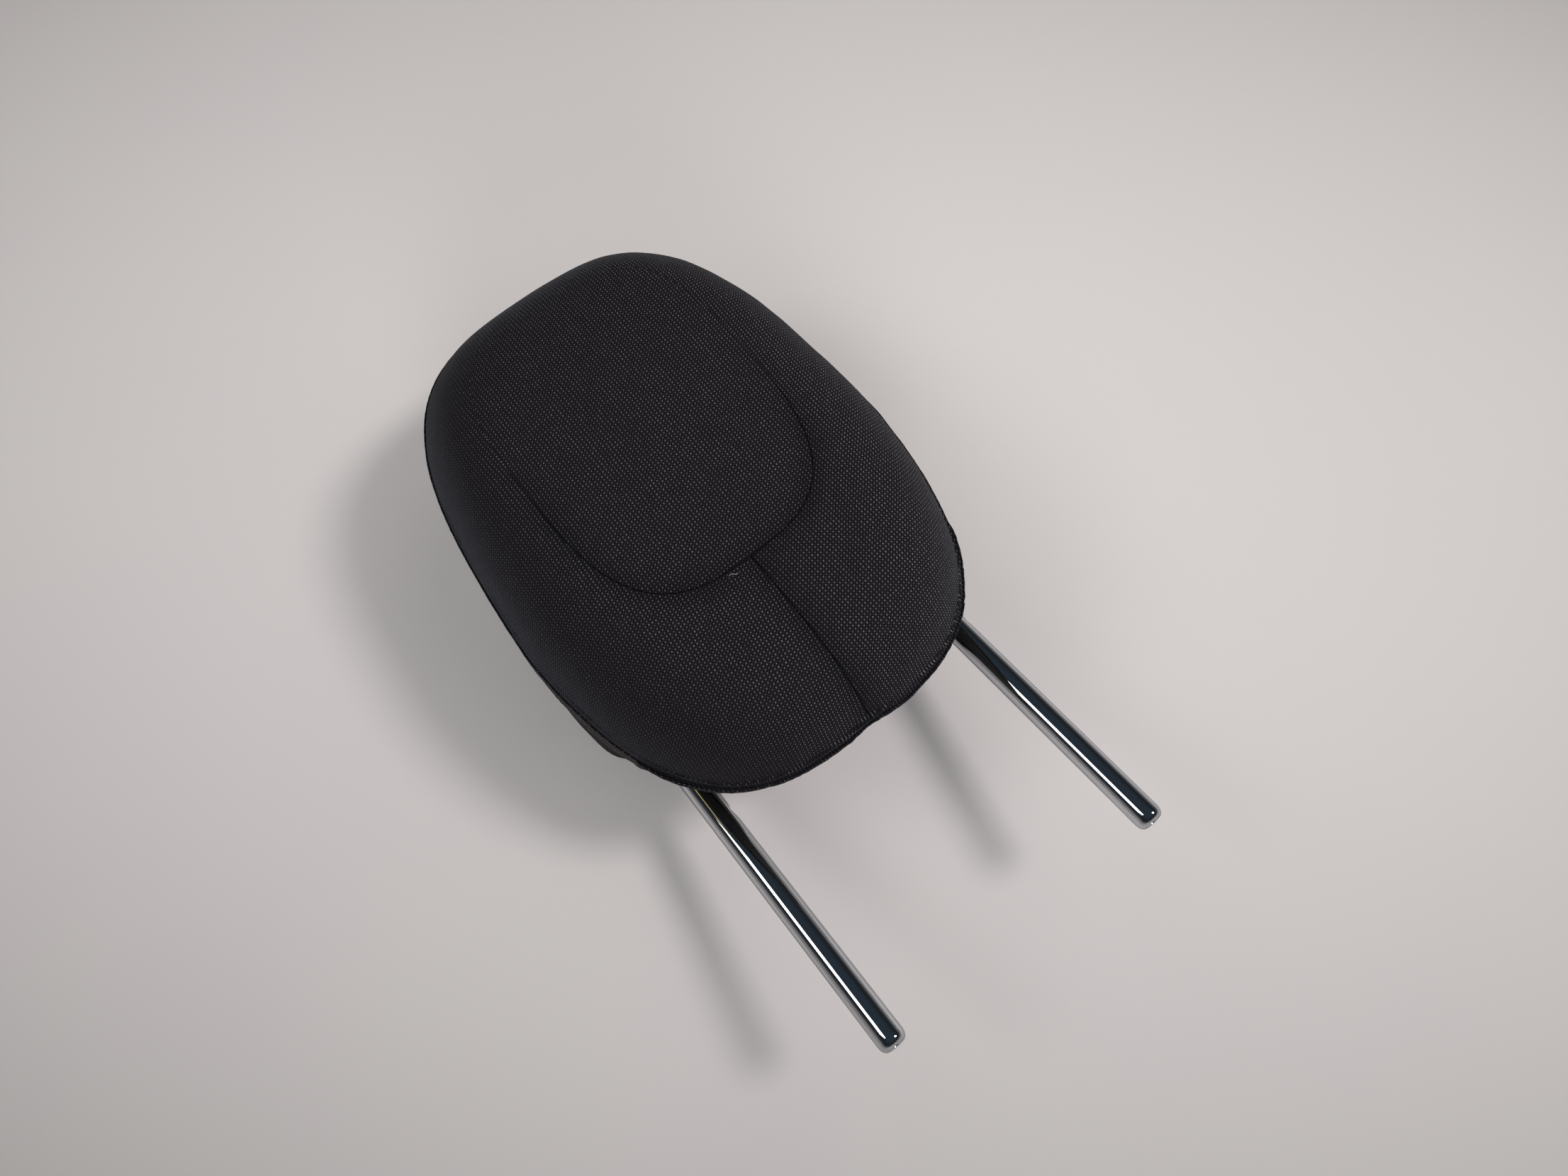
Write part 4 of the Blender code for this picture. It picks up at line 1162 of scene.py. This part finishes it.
def make_floor():
    corners = [(x, y, 0.0) for x, y in ((-1, -1), (1, -1), (1, 1), (-1, 1))]
    floor = mesh_object("floor", np.array(corners) * FLOOR_HALF_SIZE, [(0, 1, 2, 3)])
    s = Shader("floor_paper")
    at = s.place_coordinates()
    x, y = (s.minus(value, middle) for value, middle in zip(s.split(at), SHADE_CENTRE))
    terms = (s.math("POWER", x, 2.0), s.math("POWER", y, 2.0), s.times(x, y))
    fall = s.plus(*(s.times(term, weight) for term, weight in zip(terms, SHADE_FALL)))
    darkest, palest = SHADE_RANGE
    shade = s.math("MINIMUM", palest, s.math("MAXIMUM", darkest, s.minus(palest, fall)))
    blotch = s.steps(s.noise(at, 4.0, 3.0), 0.35, 0.65)
    pale = s.mix(blotch, (0.675, 0.642, 0.626), (0.668, 0.628, 0.624))
    s.set(Base_Color=s.vector("SCALE", pale, shade), Roughness=0.85, Specular_IOR_Level=0.2)
    floor.data.materials.append(s.material)


def add_lamp(name, direction, distance, size, power, colour, length=None, in_gloss=True):
    lamp = bpy.data.lights.new(name, "AREA")
    lamp.shape = "RECTANGLE" if length else "DISK"
    lamp.size = size
    lamp.size_y = length or size
    lamp.energy = power
    lamp.color = colour
    obj = bpy.data.objects.new(name, lamp)
    back = Vector(direction).normalized()
    obj.location = TARGET + back * distance
    along = (Vector((0.0, 1.0, 0.0)) - back * back.y).normalized()
    obj.rotation_euler = Matrix((along.cross(back), along, back)).transposed().to_euler()
    obj.visible_glossy = in_gloss
    bpy.context.scene.collection.objects.link(obj)


def make_camera():
    camera = bpy.data.cameras.new("camera")
    camera.sensor_fit = "HORIZONTAL"
    camera.sensor_width = SENSOR_WIDTH
    camera.lens = SENSOR_WIDTH * FOCAL_PIXELS / IMAGE_WIDTH
    camera.clip_start = 0.01
    obj = bpy.data.objects.new("camera", camera)
    back = CAMERA_RIGHT.cross(CAMERA_UP).normalized()
    up = back.cross(CAMERA_RIGHT).normalized()
    matrix = Matrix((CAMERA_RIGHT.normalized(), up, back)).transposed().to_4x4()
    matrix.translation = CAMERA_AT
    obj.matrix_world = matrix
    bpy.context.scene.collection.objects.link(obj)
    bpy.context.scene.camera = obj


def make_world():
    world = bpy.data.worlds.new("studio")
    world.use_nodes = True
    tree = world.node_tree
    background = tree.nodes["Background"]
    up = tree.nodes.new("ShaderNodeSeparateXYZ")
    tree.links.new(tree.nodes.new("ShaderNodeTexCoord").outputs["Generated"], up.inputs[0])
    ramp = tree.nodes.new("ShaderNodeValToRGB")
    ramp.color_ramp.interpolation = "EASE"
    elements = ramp.color_ramp.elements
    for position, _ in WORLD_STOPS[1:-1]:
        elements.new(position)
    for stop, (_, colour) in zip(elements, WORLD_STOPS):
        stop.color = (*colour, 1.0)
    tree.links.new(up.outputs[2], ramp.inputs[0])
    tree.links.new(ramp.outputs[0], background.inputs["Color"])
    background.inputs["Strength"].default_value = 1.0
    bpy.context.scene.world = world


make_floor()
add_lamp("key", (0.544, -0.272, 0.793), 4.0, 0.86, 71.0, (1.0, 0.97, 0.95))
add_lamp("second", (-1.45, 0.90, 1.76), 2.45, 0.74, 6.6, (0.97, 0.98, 1.0), length=0.76)
add_lamp("warm_0", (-1.30, 1.46, 1.76), 2.63, 0.11, 0.22, (1.0, 0.76, 0.26), length=0.56)
add_lamp("warm_1", (-1.50, 1.50, 1.76), 2.75, 0.03, 0.04, (1.0, 0.78, 0.36), length=0.5)
add_lamp("front", (-0.40, -0.80, 0.42), 1.8, 0.9, 9.6, (0.93, 0.96, 1.0), in_gloss=False)
for number in range(5):
    around = math.radians(20 + 72 * number)
    add_lamp(f"soft_{number}", (0.62 * math.cos(around), 0.62 * math.sin(around), 0.78), 1.9, 1.3, 4.1,
             (1.0, 0.985, 0.965), in_gloss=False)
make_world()
make_camera()
bpy.context.scene.view_settings.view_transform = "Standard"
